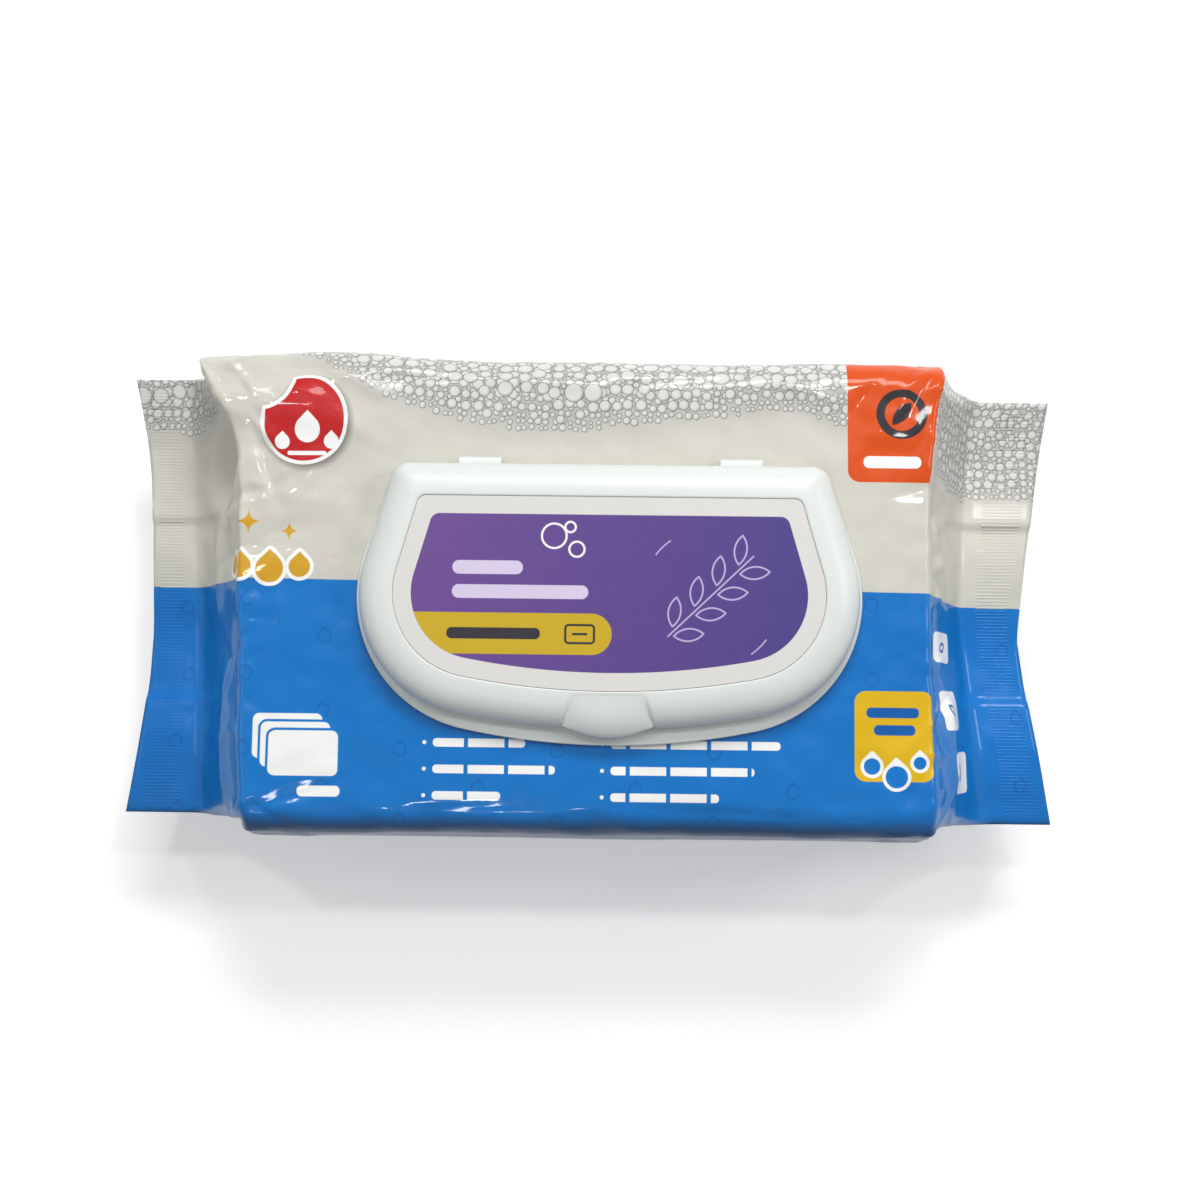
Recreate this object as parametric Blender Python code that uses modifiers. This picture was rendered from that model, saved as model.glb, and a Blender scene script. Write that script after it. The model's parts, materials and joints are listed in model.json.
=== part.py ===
"""Wet wipes pack: a film wrapper round a stack of folded wipes, with a moulded flip lid.

Metres, +Z up. The pack lies flat with its lid up and its length along X. The lid's hinge is at its +Y edge.
"""

import math
from typing import NamedTuple

import bmesh
import bpy
from mathutils import Vector

# Wrapper: the film tube, its tucked ends and its crimped fins
BODY_LENGTH = 0.150
BODY_WIDTH = 0.102
BODY_HEIGHT = 0.050
EDGE_RADIUS = 0.006
SIDE_BULGE = 0.0018
END_SLOPE_POWER = 1.5
FIN_THICKNESS = 0.0009
FIN_WAVE = 0.0012
FIN_WAVE_LENGTH = 0.044
FILM = 0.0006
HOLLOW_END_SHARE = 0.30
HOLLOW_SETBACK = 0.0015
SEAM_OFFSET = 0.011
SEAM_GROOVE_WIDTH = 0.0006
SEAM_GROOVE_DEPTH = 0.0003
SLOT_LENGTH = 0.058
SLOT_WIDTH = 0.025

# Wipes
STACK_LENGTH = 0.141
STACK_SIDE_CLEARANCE = 0.0015
STACK_HEIGHT = 0.0455
FOLD_COUNT = 18
FOLD_DEPTH = 0.0007
WIPE_LENGTH = 0.138
WIPE_WIDTH = 0.090
WIPE_THICKNESS = 0.0008
PINCH_HEIGHT = 0.0020
PINCH_LENGTH = 0.044
PINCH_WIDTH = 0.012

# Lid: where it sits on the pack, and the shared sizes of its frame and cover
LID_X = 0.0047
LID_Y = -0.0005
REST_GAP = 0.0003
FLANGE_THICKNESS = 0.0012
FLANGE_CHAMFER = 0.0003
COVER_HEIGHT = 0.0080
COVER_WALL = 0.0012
SKIRT_HEIGHT = 0.0017
SHOULDER_WIDTH = 0.0070
COVER_SIDE_INSET = 0.0008
COVER_FRONT_INSET = 0.0034
OPENING_LENGTH = 0.064
OPENING_WIDTH = 0.029
COLLAR_WALL = 0.0012
COLLAR_HEIGHT = 0.0042
RIM_CLEARANCE = 0.0004
RIM_WALL = 0.0010
RIM_END_GAP = 0.0010
SHARP_CORNER = 0.0020

# Label and the field it lies in
LABEL_INSET = 0.0076
LABEL_THICKNESS = 0.0002
LABEL_EDGE_GAP = 0.0003

# Thumb tab
TAB_ROOT_WIDTH = 0.0156
TAB_WIDTH = 0.0204
TAB_ROOT_DEPTH = 0.0070
TAB_OVERHANG = 0.0020
TAB_TIP_THICKNESS = 0.0017
TAB_CORNER = 0.0015
TAB_BOW = 0.0030

# Catch behind the cover's front wall
CATCH_WIDTH = 0.012
CATCH_THICKNESS = 0.0010
CATCH_HEIGHT = 0.0020
CATCH_CLEARANCE = 0.0004
NUB_DEPTH = 0.0006
NUB_HEIGHT = 0.0006

# Hinge webs
WEB_SPACING = 0.056
WEB_WIDTH = 0.009
WEB_THICKNESS = 0.0004
WEB_RADIUS = 0.0010
HINGE_SETBACK = 0.0004

# Facets
PANEL_STEPS = 8
ARC_STEPS = 12
CHEEK_STEPS = 14
CORNER_STEPS = 4
SIDE_STEPS = 6
OVERCUT = 0.001
END_SHARES = (0.03, 0.09, 0.18, 0.30, 0.44, 0.60, 0.76, 0.90)


class EndLine(NamedTuple):
    """A line across one end: how far past the body it lies in the middle, and how much further at its corners."""

    middle: float
    back: float
    back_power: float
    front: float
    front_power: float

    def reach(self, y):
        share = min(abs(y) / (BODY_WIDTH / 2), 1.0)
        if y > 0:
            return BODY_LENGTH / 2 + self.middle + self.back * share**self.back_power
        return BODY_LENGTH / 2 + self.middle + self.front * share**self.front_power


class PackEnd(NamedTuple):
    """One tucked end: the fold over the stack, the root of the seal, its cut edge and how far it narrows."""

    side: int
    fold: EndLine
    root: EndLine
    edge: EndLine
    back_narrowing: float
    front_narrowing: float


class Dent(NamedTuple):
    """A soft dent in the upper film, or a swelling where its depth is below zero."""

    x: float
    y: float
    length: float
    width: float
    depth: float


LEFT_END = PackEnd(
    side=-1,
    fold=EndLine(middle=-0.0002, back=0.0127, back_power=4.0, front=-0.0022, front_power=1.5),
    root=EndLine(middle=0.0145, back=0.0042, back_power=1.2, front=-0.0018, front_power=1.0),
    edge=EndLine(middle=0.0242, back=0.0058, back_power=2.0, front=0.0054, front_power=2.4),
    back_narrowing=0.0002,
    front_narrowing=0.0028,
)
RIGHT_END = PackEnd(
    side=1,
    fold=EndLine(middle=-0.0017, back=0.0045, back_power=3.5, front=0.0007, front_power=1.5),
    root=EndLine(middle=0.0099, back=0.0054, back_power=2.0, front=0.0070, front_power=1.2),
    edge=EndLine(middle=0.0220, back=0.0085, back_power=0.9, front=0.0080, front_power=1.3),
    back_narrowing=0.0034,
    front_narrowing=0.0024,
)
DENTS = (
    Dent(x=-0.0825, y=0.0310, length=0.0065, width=0.0110, depth=0.0060),
    Dent(x=-0.0790, y=-0.0360, length=0.0060, width=0.0120, depth=-0.0020),
    Dent(x=0.0820, y=-0.0370, length=0.0070, width=0.0110, depth=-0.0020),
)


class LidOutline(NamedTuple):
    """Back edge, rear corners, round cheeks and front bow of one lid piece, from the lid's centre."""

    back: float
    corner_x: float
    corner_radius: float
    cheek_x: float
    cheek_y: float
    cheek_radius: float
    front_bow: float

    @property
    def front(self):
        return self.cheek_radius - self.cheek_y + self.front_bow


FLANGE = LidOutline(
    back=0.0280,
    corner_x=0.0430,
    corner_radius=0.0045,
    cheek_x=0.0250,
    cheek_y=-0.0006,
    cheek_radius=0.0290,
    front_bow=0.0026,
)
COVER = LidOutline(
    back=FLANGE.back - COVER_SIDE_INSET / 2,
    corner_x=FLANGE.corner_x,
    corner_radius=FLANGE.corner_radius - COVER_SIDE_INSET / 2,
    cheek_x=FLANGE.cheek_x + COVER_FRONT_INSET - COVER_SIDE_INSET,
    cheek_y=FLANGE.cheek_y,
    cheek_radius=FLANGE.cheek_radius - COVER_FRONT_INSET,
    front_bow=FLANGE.front_bow,
)

# Levels that follow from the sizes
MID_HEIGHT = BODY_HEIGHT / 2
STACK_BOTTOM = FILM + REST_GAP
STACK_WIDTH = BODY_WIDTH - 2 * (FILM + STACK_SIDE_CLEARANCE)
WIPE_BOTTOM = STACK_BOTTOM + STACK_HEIGHT + REST_GAP
FLANGE_BOTTOM = BODY_HEIGHT + REST_GAP
FLANGE_TOP = FLANGE_BOTTOM + FLANGE_THICKNESS
COVER_BOTTOM = FLANGE_TOP + REST_GAP
COVER_TOP = FLANGE_BOTTOM + COVER_HEIGHT
LABEL_FLOOR = COVER_TOP - LABEL_THICKNESS - 1.5 * REST_GAP
HINGE_Y = LID_Y + FLANGE.back + HINGE_SETBACK
HINGE_Z = (FLANGE_TOP + COVER_BOTTOM) / 2


def clear_scene():
    for old in list(bpy.data.objects):
        bpy.data.objects.remove(old, do_unlink=True)


def new_collection(name):
    collection = bpy.data.collections.new(name)
    bpy.context.scene.collection.children.link(collection)
    return collection


def plastic(name, colour, roughness):
    material = bpy.data.materials.new(name)
    material.use_nodes = True
    shader = material.node_tree.nodes["Principled BSDF"]
    shader.inputs["Base Color"].default_value = (*colour, 1.0)
    shader.inputs["Roughness"].default_value = roughness
    shader.inputs["Metallic"].default_value = 0.0
    return material


def add_object(name, mesh, collection, material=None, smooth_angle=math.radians(35)):
    thing = bpy.data.objects.new(name, mesh)
    collection.objects.link(thing)
    if material:
        mesh.materials.append(material)
        mesh.shade_smooth()
        mesh.set_sharp_from_angle(angle=smooth_angle)
    else:
        thing.hide_render = True
        thing.display_type = "WIRE"
    return thing


def bowed_cap(bm, ring):
    """Closes a film section whose end is bowed in plan, with a strip that joins its top to its bottom."""
    count = len(ring)
    half = count // 2
    for base in (0, half):
        for k in range(half // 2):
            corners = [ring[i % count] for i in (base + k, base + k + 1, base + half - k - 1, base + half - k)]
            bm.faces.new(list(dict.fromkeys(corners)))


def loft(name, rings, collection, material=None, bowed=False):
    """A closed solid through rings that have the same number of points."""
    bm = bmesh.new()
    layers = [[bm.verts.new(point) for point in ring] for ring in rings]
    count = len(rings[0])
    for lower, upper in zip(layers, layers[1:]):
        for i in range(count):
            j = (i + 1) % count
            bm.faces.new((lower[i], lower[j], upper[j], upper[i]))
    for ring in (layers[0], layers[-1]):
        if bowed:
            bowed_cap(bm, ring)
        else:
            bm.faces.new(ring)
    bmesh.ops.recalc_face_normals(bm, faces=bm.faces)
    mesh = bpy.data.meshes.new(name)
    bm.to_mesh(mesh)
    bm.free()
    return add_object(name, mesh, collection, material)


def boolean(target, tool, operation):
    modifier = target.modifiers.new(tool.name, "BOOLEAN")
    modifier.operation = operation
    modifier.solver = "EXACT"
    modifier.object = tool


def at_height(outline, z):
    return [Vector((x, y, z)) for x, y in outline]


def arc(centre, radius, start, end, steps):
    points = []
    for i in range(steps + 1):
        angle = start + (end - start) * i / steps
        points.append((centre[0] + radius * math.cos(angle), centre[1] + radius * math.sin(angle)))
    return points


def lid_outline(shape, inset=0.0):
    """The lid's plan: a long front arc, two round cheeks, straight slanting sides and rear corners."""
    front = -shape.front
    rise = front - shape.cheek_y
    front_radius = (shape.cheek_radius**2 - shape.cheek_x**2 - rise**2) / (2 * (rise + shape.cheek_radius))
    front_centre = (0.0, front + front_radius)
    front_end = math.atan2(shape.cheek_y - front_centre[1], shape.cheek_x)

    corner_y = shape.back - shape.corner_radius
    across = Vector((shape.corner_x - shape.cheek_x, corner_y - shape.cheek_y))
    lean = math.acos((shape.cheek_radius - shape.corner_radius) / across.length)
    side_angle = math.atan2(across.y, across.x) - lean
    side_normal = Vector((math.cos(side_angle), math.sin(side_angle)))
    side_reach = side_normal.dot(Vector((shape.cheek_x, shape.cheek_y))) + shape.cheek_radius - inset

    corner_radius = max(shape.corner_radius - inset, SHARP_CORNER)
    corner_y = shape.back - inset - corner_radius
    corner_x = (side_reach - corner_radius - side_normal.y * corner_y) / side_normal.x

    half = arc(front_centre, front_radius - inset, -math.pi / 2, front_end, ARC_STEPS)
    cheek = arc((shape.cheek_x, shape.cheek_y), shape.cheek_radius - inset, front_end, side_angle, CHEEK_STEPS)
    half += cheek[1:]
    half += arc((corner_x, corner_y), corner_radius, side_angle, math.pi / 2, CORNER_STEPS)
    mirrored = [(-x, y) for x, y in reversed(half[1:])]
    return [(LID_X + x, LID_Y + y) for x, y in half + mirrored]


def oval(length, width, steps=ARC_STEPS):
    """A slot outline with round ends, centred under the lid."""
    radius = width / 2
    reach = length / 2 - radius
    right = arc((reach, 0.0), radius, -math.pi / 2, math.pi / 2, steps)
    left = [(-x, -y) for x, y in right]
    return [(LID_X + x, LID_Y + y) for x, y in right + left]


def film_section(height, tuck=0.0, bulge=0.0, narrowing=0.0, inset=0.0):
    """The film tube cut across. A tuck folds both side walls inwards."""
    half_width = BODY_WIDTH / 2 - narrowing - inset
    half_height = height / 2 - inset
    radius = min(EDGE_RADIUS - inset, 0.45 * half_height)
    side = half_height - radius
    flat = half_width - radius
    right = [(flat * i / PANEL_STEPS, half_height) for i in range(PANEL_STEPS)]
    for i in range(CORNER_STEPS):
        turn = math.pi / 2 * i / CORNER_STEPS
        right.append((flat + radius * math.sin(turn), side + radius * math.cos(turn)))
    for i in range(SIDE_STEPS + 1):
        level = 1 - 2 * i / SIDE_STEPS
        inwards = tuck * (1 - abs(level)) - bulge * (1 - level**2)
        right.append((half_width - inwards, side * level))
    for i in reversed(range(CORNER_STEPS)):
        turn = math.pi / 2 * i / CORNER_STEPS
        right.append((flat + radius * math.sin(turn), -side - radius * math.cos(turn)))
    right += [(flat * i / PANEL_STEPS, -half_height) for i in reversed(range(1, PANEL_STEPS))]
    return right + [(-y, -z) for y, z in right]


def dent_depth(x, y):
    """How far all dents together press the film down at one place."""
    depth = 0.0
    for dent in DENTS:
        depth += dent.depth * math.exp(-(((x - dent.x) / dent.length) ** 2) - ((y - dent.y) / dent.width) ** 2)
    return depth


def on_end(section, end, share, beyond=0.0):
    """A section set on one end, at a share of the way from fold to seal, and beyond the seal's root.

    The fold follows its own line at the top and lies straight across the underside, which rests on a table.
    """
    ring = []
    for y, z in section:
        narrowing = end.back_narrowing if y > 0 else end.front_narrowing
        y *= 1 - share * narrowing / (BODY_WIDTH / 2)
        straight = BODY_LENGTH / 2
        fold = straight + (end.fold.reach(y) - straight) * (0.5 + z / BODY_HEIGHT)
        root = end.root.reach(y)
        x = end.side * (fold + share * (root - fold) + beyond * (end.edge.reach(y) - root))
        z -= dent_depth(x, y) * max(z, 0.0) / MID_HEIGHT
        z += FIN_WAVE * share * math.sin(math.tau * y / FIN_WAVE_LENGTH)
        ring.append(Vector((x, y, MID_HEIGHT + z)))
    return ring


def end_height(share):
    """Height of the film tube at a share of the way from the body's end fold to the fin."""
    return FIN_THICKNESS + (BODY_HEIGHT - FIN_THICKNESS) * (1 - share) ** END_SLOPE_POWER


def tuck_depth(height):
    """The side wall keeps its length, so it folds in as far as the tube has closed."""
    return math.sqrt(max(BODY_HEIGHT**2 - height**2, 0.0)) / 2


def body_rings(end, inset=0.0):
    """The body's full section: a quarter of its length from the middle, short of one end's fold and at it."""
    section = film_section(BODY_HEIGHT, bulge=SIDE_BULGE, inset=inset)
    quarter = [Vector((end.side * BODY_LENGTH / 4, y, MID_HEIGHT + z)) for y, z in section]
    fold = on_end(section, end, 0.0)
    short = [Vector((p.x - end.side * EDGE_RADIUS, y, MID_HEIGHT + z)) for p, (y, z) in zip(fold, section)]
    return [quarter, short, fold]


def outer_rings(end):
    """The outside of the film over one half of the pack, out to the fin's cut edge."""
    rings = body_rings(end)
    for share in END_SHARES:
        height = end_height(share)
        rings.append(on_end(film_section(height, tuck_depth(height)), end, share))
    fin = film_section(FIN_THICKNESS, bulge=FIN_THICKNESS / 4)
    return rings + [on_end(fin, end, 1.0), on_end(fin, end, 1.0, 1.0)]


def hollow_rings(end):
    """The space inside one half of the film, set back from its end, up to where the tucks pinch it off."""
    rings = body_rings(end, FILM)
    for share in END_SHARES:
        if share <= HOLLOW_END_SHARE:
            height = end_height(share)
            rings.append(on_end(film_section(height, 0.0, FILM / 4, tuck_depth(height), FILM), end, share))
    setback = Vector((end.side * HOLLOW_SETBACK, 0.0, 0.0))
    return rings[:1] + [[point - setback for point in ring] for ring in rings[1:]]


def end_to_end(half_rings):
    """One end's rings from the outside inwards, then the other end's from the inside outwards."""
    return half_rings(LEFT_END)[::-1] + half_rings(RIGHT_END)


def make_wrapper(parts, cutters):
    film = plastic("printed_film", (0.02, 0.20, 0.58), 0.28)
    wrapper = loft("wrapper", end_to_end(outer_rings), parts, film, bowed=True)
    boolean(wrapper, loft("wrapper_hollow", end_to_end(hollow_rings), cutters, bowed=True), "DIFFERENCE")

    slot = oval(SLOT_LENGTH, SLOT_WIDTH)
    levels = (BODY_HEIGHT - FILM - OVERCUT, BODY_HEIGHT + OVERCUT)
    boolean(wrapper, loft("wrapper_slot", [at_height(slot, z) for z in levels], cutters), "DIFFERENCE")

    near = SEAM_OFFSET - SEAM_GROOVE_WIDTH / 2
    far = SEAM_OFFSET + SEAM_GROOVE_WIDTH / 2
    end_x = BODY_LENGTH / 2
    groove = [(-end_x, near), (end_x, near), (end_x, far), (-end_x, far)]
    levels = (-OVERCUT, SEAM_GROOVE_DEPTH)
    boolean(wrapper, loft("seam_groove", [at_height(groove, z) for z in levels], cutters), "DIFFERENCE")


def make_wipes_stack(parts):
    """Interleaved folds show as rows of small rounded ridges along both long sides."""
    steps = 4
    radius = EDGE_RADIUS
    right = []
    for i in range(FOLD_COUNT * steps + 1):
        z = STACK_HEIGHT * i / (FOLD_COUNT * steps)
        from_end = min(z, STACK_HEIGHT - z)
        inset = radius - math.sqrt(radius**2 - max(radius - from_end, 0.0) ** 2)
        ridge = FOLD_DEPTH * (1 - abs(math.sin(math.pi * i / steps)))
        right.append((STACK_WIDTH / 2 - inset - ridge, STACK_BOTTOM + z))
    outline = right + [(-y, z) for y, z in reversed(right)]
    rings = [[Vector((x, y, z)) for y, z in outline] for x in (-STACK_LENGTH / 2, STACK_LENGTH / 2)]
    loft("wipes_stack", rings, parts, plastic("wipe_stack", (0.86, 0.88, 0.88), 0.9))


def make_top_wipe(parts):
    """The leading wipe lies loose on the stack, with its middle pinched up under the opening."""
    bm = bmesh.new()
    bmesh.ops.create_grid(bm, x_segments=28, y_segments=22, size=0.5)
    for vert in bm.verts:
        x = vert.co.x * WIPE_LENGTH
        y = vert.co.y * WIPE_WIDTH
        along = max(0.0, 1 - (2 * (x - LID_X) / PINCH_LENGTH) ** 2)
        across = math.exp(-((2 * (y - LID_Y) / PINCH_WIDTH) ** 2))
        vert.co = Vector((x, y, WIPE_BOTTOM + PINCH_HEIGHT * along * across))
    mesh = bpy.data.meshes.new("top_wipe")
    bm.to_mesh(mesh)
    bm.free()
    wipe = add_object("top_wipe", mesh, parts, plastic("top_wipe", (0.90, 0.92, 0.92), 0.95))
    wall = wipe.modifiers.new("wall", "SOLIDIFY")
    wall.thickness = WIPE_THICKNESS
    wall.offset = 1.0


def make_lid_frame(parts, cutters):
    white = plastic("frame_plastic", (0.80, 0.83, 0.82), 0.35)
    steps = (
        (FLANGE_CHAMFER, FLANGE_BOTTOM),
        (0.0, FLANGE_BOTTOM + FLANGE_CHAMFER),
        (0.0, FLANGE_TOP - FLANGE_CHAMFER),
        (FLANGE_CHAMFER, FLANGE_TOP),
    )
    rings = [at_height(lid_outline(FLANGE, inset), z) for inset, z in steps]
    frame = loft("lid_frame", rings, parts, white)

    collar_top = FLANGE_BOTTOM + COLLAR_HEIGHT
    outer = (OPENING_LENGTH + 2 * COLLAR_WALL, OPENING_WIDTH + 2 * COLLAR_WALL)
    round_top = COLLAR_WALL / 3
    levels = ((0.0, FLANGE_BOTTOM + FLANGE_THICKNESS / 2), (0.0, collar_top - round_top), (round_top, collar_top))
    rings = [at_height(oval(outer[0] - 2 * inset, outer[1] - 2 * inset), z) for inset, z in levels]
    boolean(frame, loft("frame_collar", rings, cutters), "UNION")

    front = LID_Y - COVER.front + COVER_WALL + NUB_DEPTH + CATCH_CLEARANCE
    half = CATCH_WIDTH / 2
    catch = [(LID_X + x, front + y) for x, y in ((-half, 0), (half, 0), (half, CATCH_THICKNESS), (-half, CATCH_THICKNESS))]
    levels = (FLANGE_BOTTOM + FLANGE_THICKNESS / 2, FLANGE_TOP + CATCH_HEIGHT)
    boolean(frame, loft("frame_catch", [at_height(catch, z) for z in levels], cutters), "UNION")

    opening = oval(OPENING_LENGTH, OPENING_WIDTH)
    levels = (FLANGE_BOTTOM - OVERCUT, collar_top + OVERCUT)
    boolean(frame, loft("frame_opening", [at_height(opening, z) for z in levels], cutters), "DIFFERENCE")


def shoulder(inset, rise):
    """Inset and height of each ring of the cover, from the skirt over the round shoulder to the panel."""
    rings = [(inset, COVER_BOTTOM + SKIRT_HEIGHT)]
    for i in range(1, SIDE_STEPS + 1):
        turn = math.pi / 2 * i / SIDE_STEPS
        across = inset + SHOULDER_WIDTH * (1 - math.cos(turn))
        rings.append((across, COVER_BOTTOM + SKIRT_HEIGHT + rise * math.sin(turn)))
    return rings


def tab_outline(margin=0.0):
    """The tab's plan: narrow where it leaves the shoulder, wider at its rounded, bowed tip."""
    root_y = -COVER.front + TAB_ROOT_DEPTH
    tip_y = -COVER.front - TAB_OVERHANG
    half = TAB_WIDTH / 2
    tip_radius = (half**2 + TAB_BOW**2) / (2 * TAB_BOW)
    sweep = math.asin((half - TAB_CORNER) / tip_radius)
    centre_y = tip_y + tip_radius
    tip = arc((0.0, centre_y), tip_radius + margin, -math.pi / 2 + sweep, -math.pi / 2 - sweep, ARC_STEPS)
    side_y = centre_y - (tip_radius - TAB_CORNER) * math.cos(sweep)
    right = (half + margin, side_y)
    root = (TAB_ROOT_WIDTH / 2 + margin, root_y)
    return [root, right] + tip + [(-right[0], right[1]), (-root[0], root[1])]


def on_tab_slope(outline, drop=0.0):
    """The outline laid on the tab's sloping face, or below it by drop."""
    root_y = -COVER.front + TAB_ROOT_DEPTH
    tip_y = -COVER.front - TAB_OVERHANG
    tip_z = COVER_BOTTOM + TAB_TIP_THICKNESS - drop
    slope = (COVER_TOP - LABEL_THICKNESS - drop - tip_z) / (root_y - tip_y)
    return [Vector((LID_X + x, LID_Y + y, tip_z + slope * (y - tip_y))) for x, y in outline]


def flattened(ring, z):
    return [Vector((point.x, point.y, z)) for point in ring]


def make_lid_cover(parts, cutters):
    """A thin moulded shell with a short skirt, a round shoulder and a sealing rim under its flat panel."""
    rise = COVER_TOP - COVER_BOTTOM - SKIRT_HEIGHT
    outside = [(0.0, COVER_BOTTOM)] + shoulder(0.0, rise)
    inside = [(COVER_WALL, COVER_BOTTOM - OVERCUT)] + shoulder(COVER_WALL, rise - COVER_WALL)
    white = plastic("cover_plastic", (0.80, 0.83, 0.82), 0.30)
    outer_rings = [at_height(lid_outline(COVER, inset), z) for inset, z in outside]
    cover = loft("lid_cover", outer_rings, parts, white)
    tab_face = on_tab_slope(tab_outline())
    scoop = [tab_face, flattened(tab_face, COVER_TOP + OVERCUT)]
    boolean(cover, loft("tab_scoop", scoop, cutters), "DIFFERENCE")
    tab = [flattened(tab_face, COVER_BOTTOM + REST_GAP), tab_face]
    boolean(cover, loft("cover_tab", tab, cutters), "UNION")
    inner_rings = [at_height(lid_outline(COVER, inset), z) for inset, z in inside]
    hollow = loft("cover_hollow", inner_rings, cutters)
    under_tab = on_tab_slope(tab_outline(COVER_WALL), COVER_WALL)
    under_tab = [under_tab, flattened(under_tab, COVER_TOP + OVERCUT)]
    boolean(hollow, loft("under_tab", under_tab, cutters), "DIFFERENCE")
    boolean(cover, hollow, "DIFFERENCE")

    clear = COLLAR_WALL + RIM_CLEARANCE
    inner = (OPENING_LENGTH + 2 * clear, OPENING_WIDTH + 2 * clear)
    outer = (inner[0] + 2 * RIM_WALL, inner[1] + 2 * RIM_WALL)
    rim_top = COVER_TOP - COVER_WALL / 2
    rim_bottom = FLANGE_TOP + RIM_END_GAP
    rim = loft("cover_rim", [at_height(oval(*outer), z) for z in (rim_bottom, rim_top)], cutters)
    levels = (rim_bottom - OVERCUT, COVER_TOP - COVER_WALL)
    boolean(rim, loft("rim_hollow", [at_height(oval(*inner), z) for z in levels], cutters), "DIFFERENCE")
    boolean(cover, rim, "UNION")

    back = LID_Y - COVER.front + COVER_WALL + NUB_DEPTH
    front = back - NUB_DEPTH - COVER_WALL / 2
    half = CATCH_WIDTH / 2
    nub = [(LID_X + x, y) for x, y in ((-half, front), (half, front), (half, back), (-half, back))]
    levels = (COVER_BOTTOM + SKIRT_HEIGHT / 2, COVER_BOTTOM + SKIRT_HEIGHT / 2 + NUB_HEIGHT)
    boolean(cover, loft("cover_nub", [at_height(nub, z) for z in levels], cutters), "UNION")

    field = lid_outline(COVER, LABEL_INSET)
    levels = (LABEL_FLOOR, COVER_TOP + OVERCUT)
    boolean(cover, loft("label_field", [at_height(field, z) for z in levels], cutters), "DIFFERENCE")


def make_lid_label(parts):
    outline = lid_outline(COVER, LABEL_INSET + LABEL_EDGE_GAP)
    levels = (LABEL_FLOOR + REST_GAP, LABEL_FLOOR + REST_GAP + LABEL_THICKNESS)
    paper = plastic("label_paper", (0.12, 0.07, 0.27), 0.4)
    loft("lid_label", [at_height(outline, z) for z in levels], parts, paper)


def make_hinge_web(name, centre_x, parts):
    """A thin strap, bent in a half circle round the hinge line, from the frame's edge to the cover's."""
    outer = arc((HINGE_Y, HINGE_Z), WEB_RADIUS, -math.pi / 2, math.pi / 2, ARC_STEPS)
    inner = arc((HINGE_Y, HINGE_Z), WEB_RADIUS - WEB_THICKNESS, math.pi / 2, -math.pi / 2, ARC_STEPS)
    reach = HINGE_Y - HINGE_SETBACK - COVER_SIDE_INSET / 2 - LID_Y - COVER.back
    leg_y = LID_Y + COVER.back + REST_GAP + max(reach, 0.0)
    outline = outer + [(leg_y, HINGE_Z + WEB_RADIUS), (leg_y, HINGE_Z + WEB_RADIUS - WEB_THICKNESS)] + inner
    rings = [[Vector((x, y, z)) for y, z in outline] for x in (centre_x - WEB_WIDTH / 2, centre_x + WEB_WIDTH / 2)]
    loft(name, rings, parts, plastic(name, (0.80, 0.83, 0.82), 0.35))


def put_origin_on_hinge(thing):
    """Moving pieces turn about the hinge line, so their origin lies on it."""
    pivot = Vector((LID_X, HINGE_Y, HINGE_Z))
    for vert in thing.data.vertices:
        vert.co -= pivot
    thing.location = pivot


def main():
    clear_scene()
    parts = new_collection("wet_wipes_pack")
    cutters = new_collection("cutters")
    make_wrapper(parts, cutters)
    make_wipes_stack(parts)
    make_top_wipe(parts)
    make_lid_frame(parts, cutters)
    make_lid_cover(parts, cutters)
    make_lid_label(parts)
    make_hinge_web("hinge_web_left", LID_X - WEB_SPACING / 2, parts)
    make_hinge_web("hinge_web_right", LID_X + WEB_SPACING / 2, parts)
    put_origin_on_hinge(parts.objects["lid_cover"])
    put_origin_on_hinge(parts.objects["lid_label"])


main()
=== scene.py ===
"""The look of the wet wipes pack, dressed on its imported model: metres, +Z up, hinge at the +Y side."""
import json
import math
import random

from typing import NamedTuple

import bmesh
import bpy
import numpy as np
from mathutils import Matrix, Vector
from mathutils.kdtree import KDTree


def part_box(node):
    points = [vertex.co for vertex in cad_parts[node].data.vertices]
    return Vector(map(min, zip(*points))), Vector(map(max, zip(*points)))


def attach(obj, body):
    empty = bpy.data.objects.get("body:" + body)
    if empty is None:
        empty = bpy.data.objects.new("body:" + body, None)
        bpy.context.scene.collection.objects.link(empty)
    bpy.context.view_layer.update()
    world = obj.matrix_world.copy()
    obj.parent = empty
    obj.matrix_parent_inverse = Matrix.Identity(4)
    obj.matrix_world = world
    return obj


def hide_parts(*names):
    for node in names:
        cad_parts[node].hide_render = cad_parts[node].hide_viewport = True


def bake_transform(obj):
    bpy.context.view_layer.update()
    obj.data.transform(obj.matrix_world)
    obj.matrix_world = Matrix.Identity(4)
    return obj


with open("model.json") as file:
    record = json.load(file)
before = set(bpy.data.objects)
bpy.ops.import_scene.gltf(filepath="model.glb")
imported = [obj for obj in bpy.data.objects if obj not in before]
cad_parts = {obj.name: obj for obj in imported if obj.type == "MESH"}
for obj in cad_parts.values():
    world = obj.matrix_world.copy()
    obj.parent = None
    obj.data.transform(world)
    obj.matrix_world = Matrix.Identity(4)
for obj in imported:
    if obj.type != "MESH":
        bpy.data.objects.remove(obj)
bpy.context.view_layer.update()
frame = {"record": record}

MM = 0.001


class EndLine(NamedTuple):
    """A line across one end, in mm: its distance from the pack's middle and how far out its corners lie."""

    middle: float
    back: float
    back_power: float
    front: float
    front_power: float

    def reach(self, y):
        share = np.minimum(np.abs(y) / HALF_WIDTH, 1.0)
        back = self.back * share**self.back_power
        front = self.front * share**self.front_power
        return (self.middle + np.where(y > 0, back, front)) * MM


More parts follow.
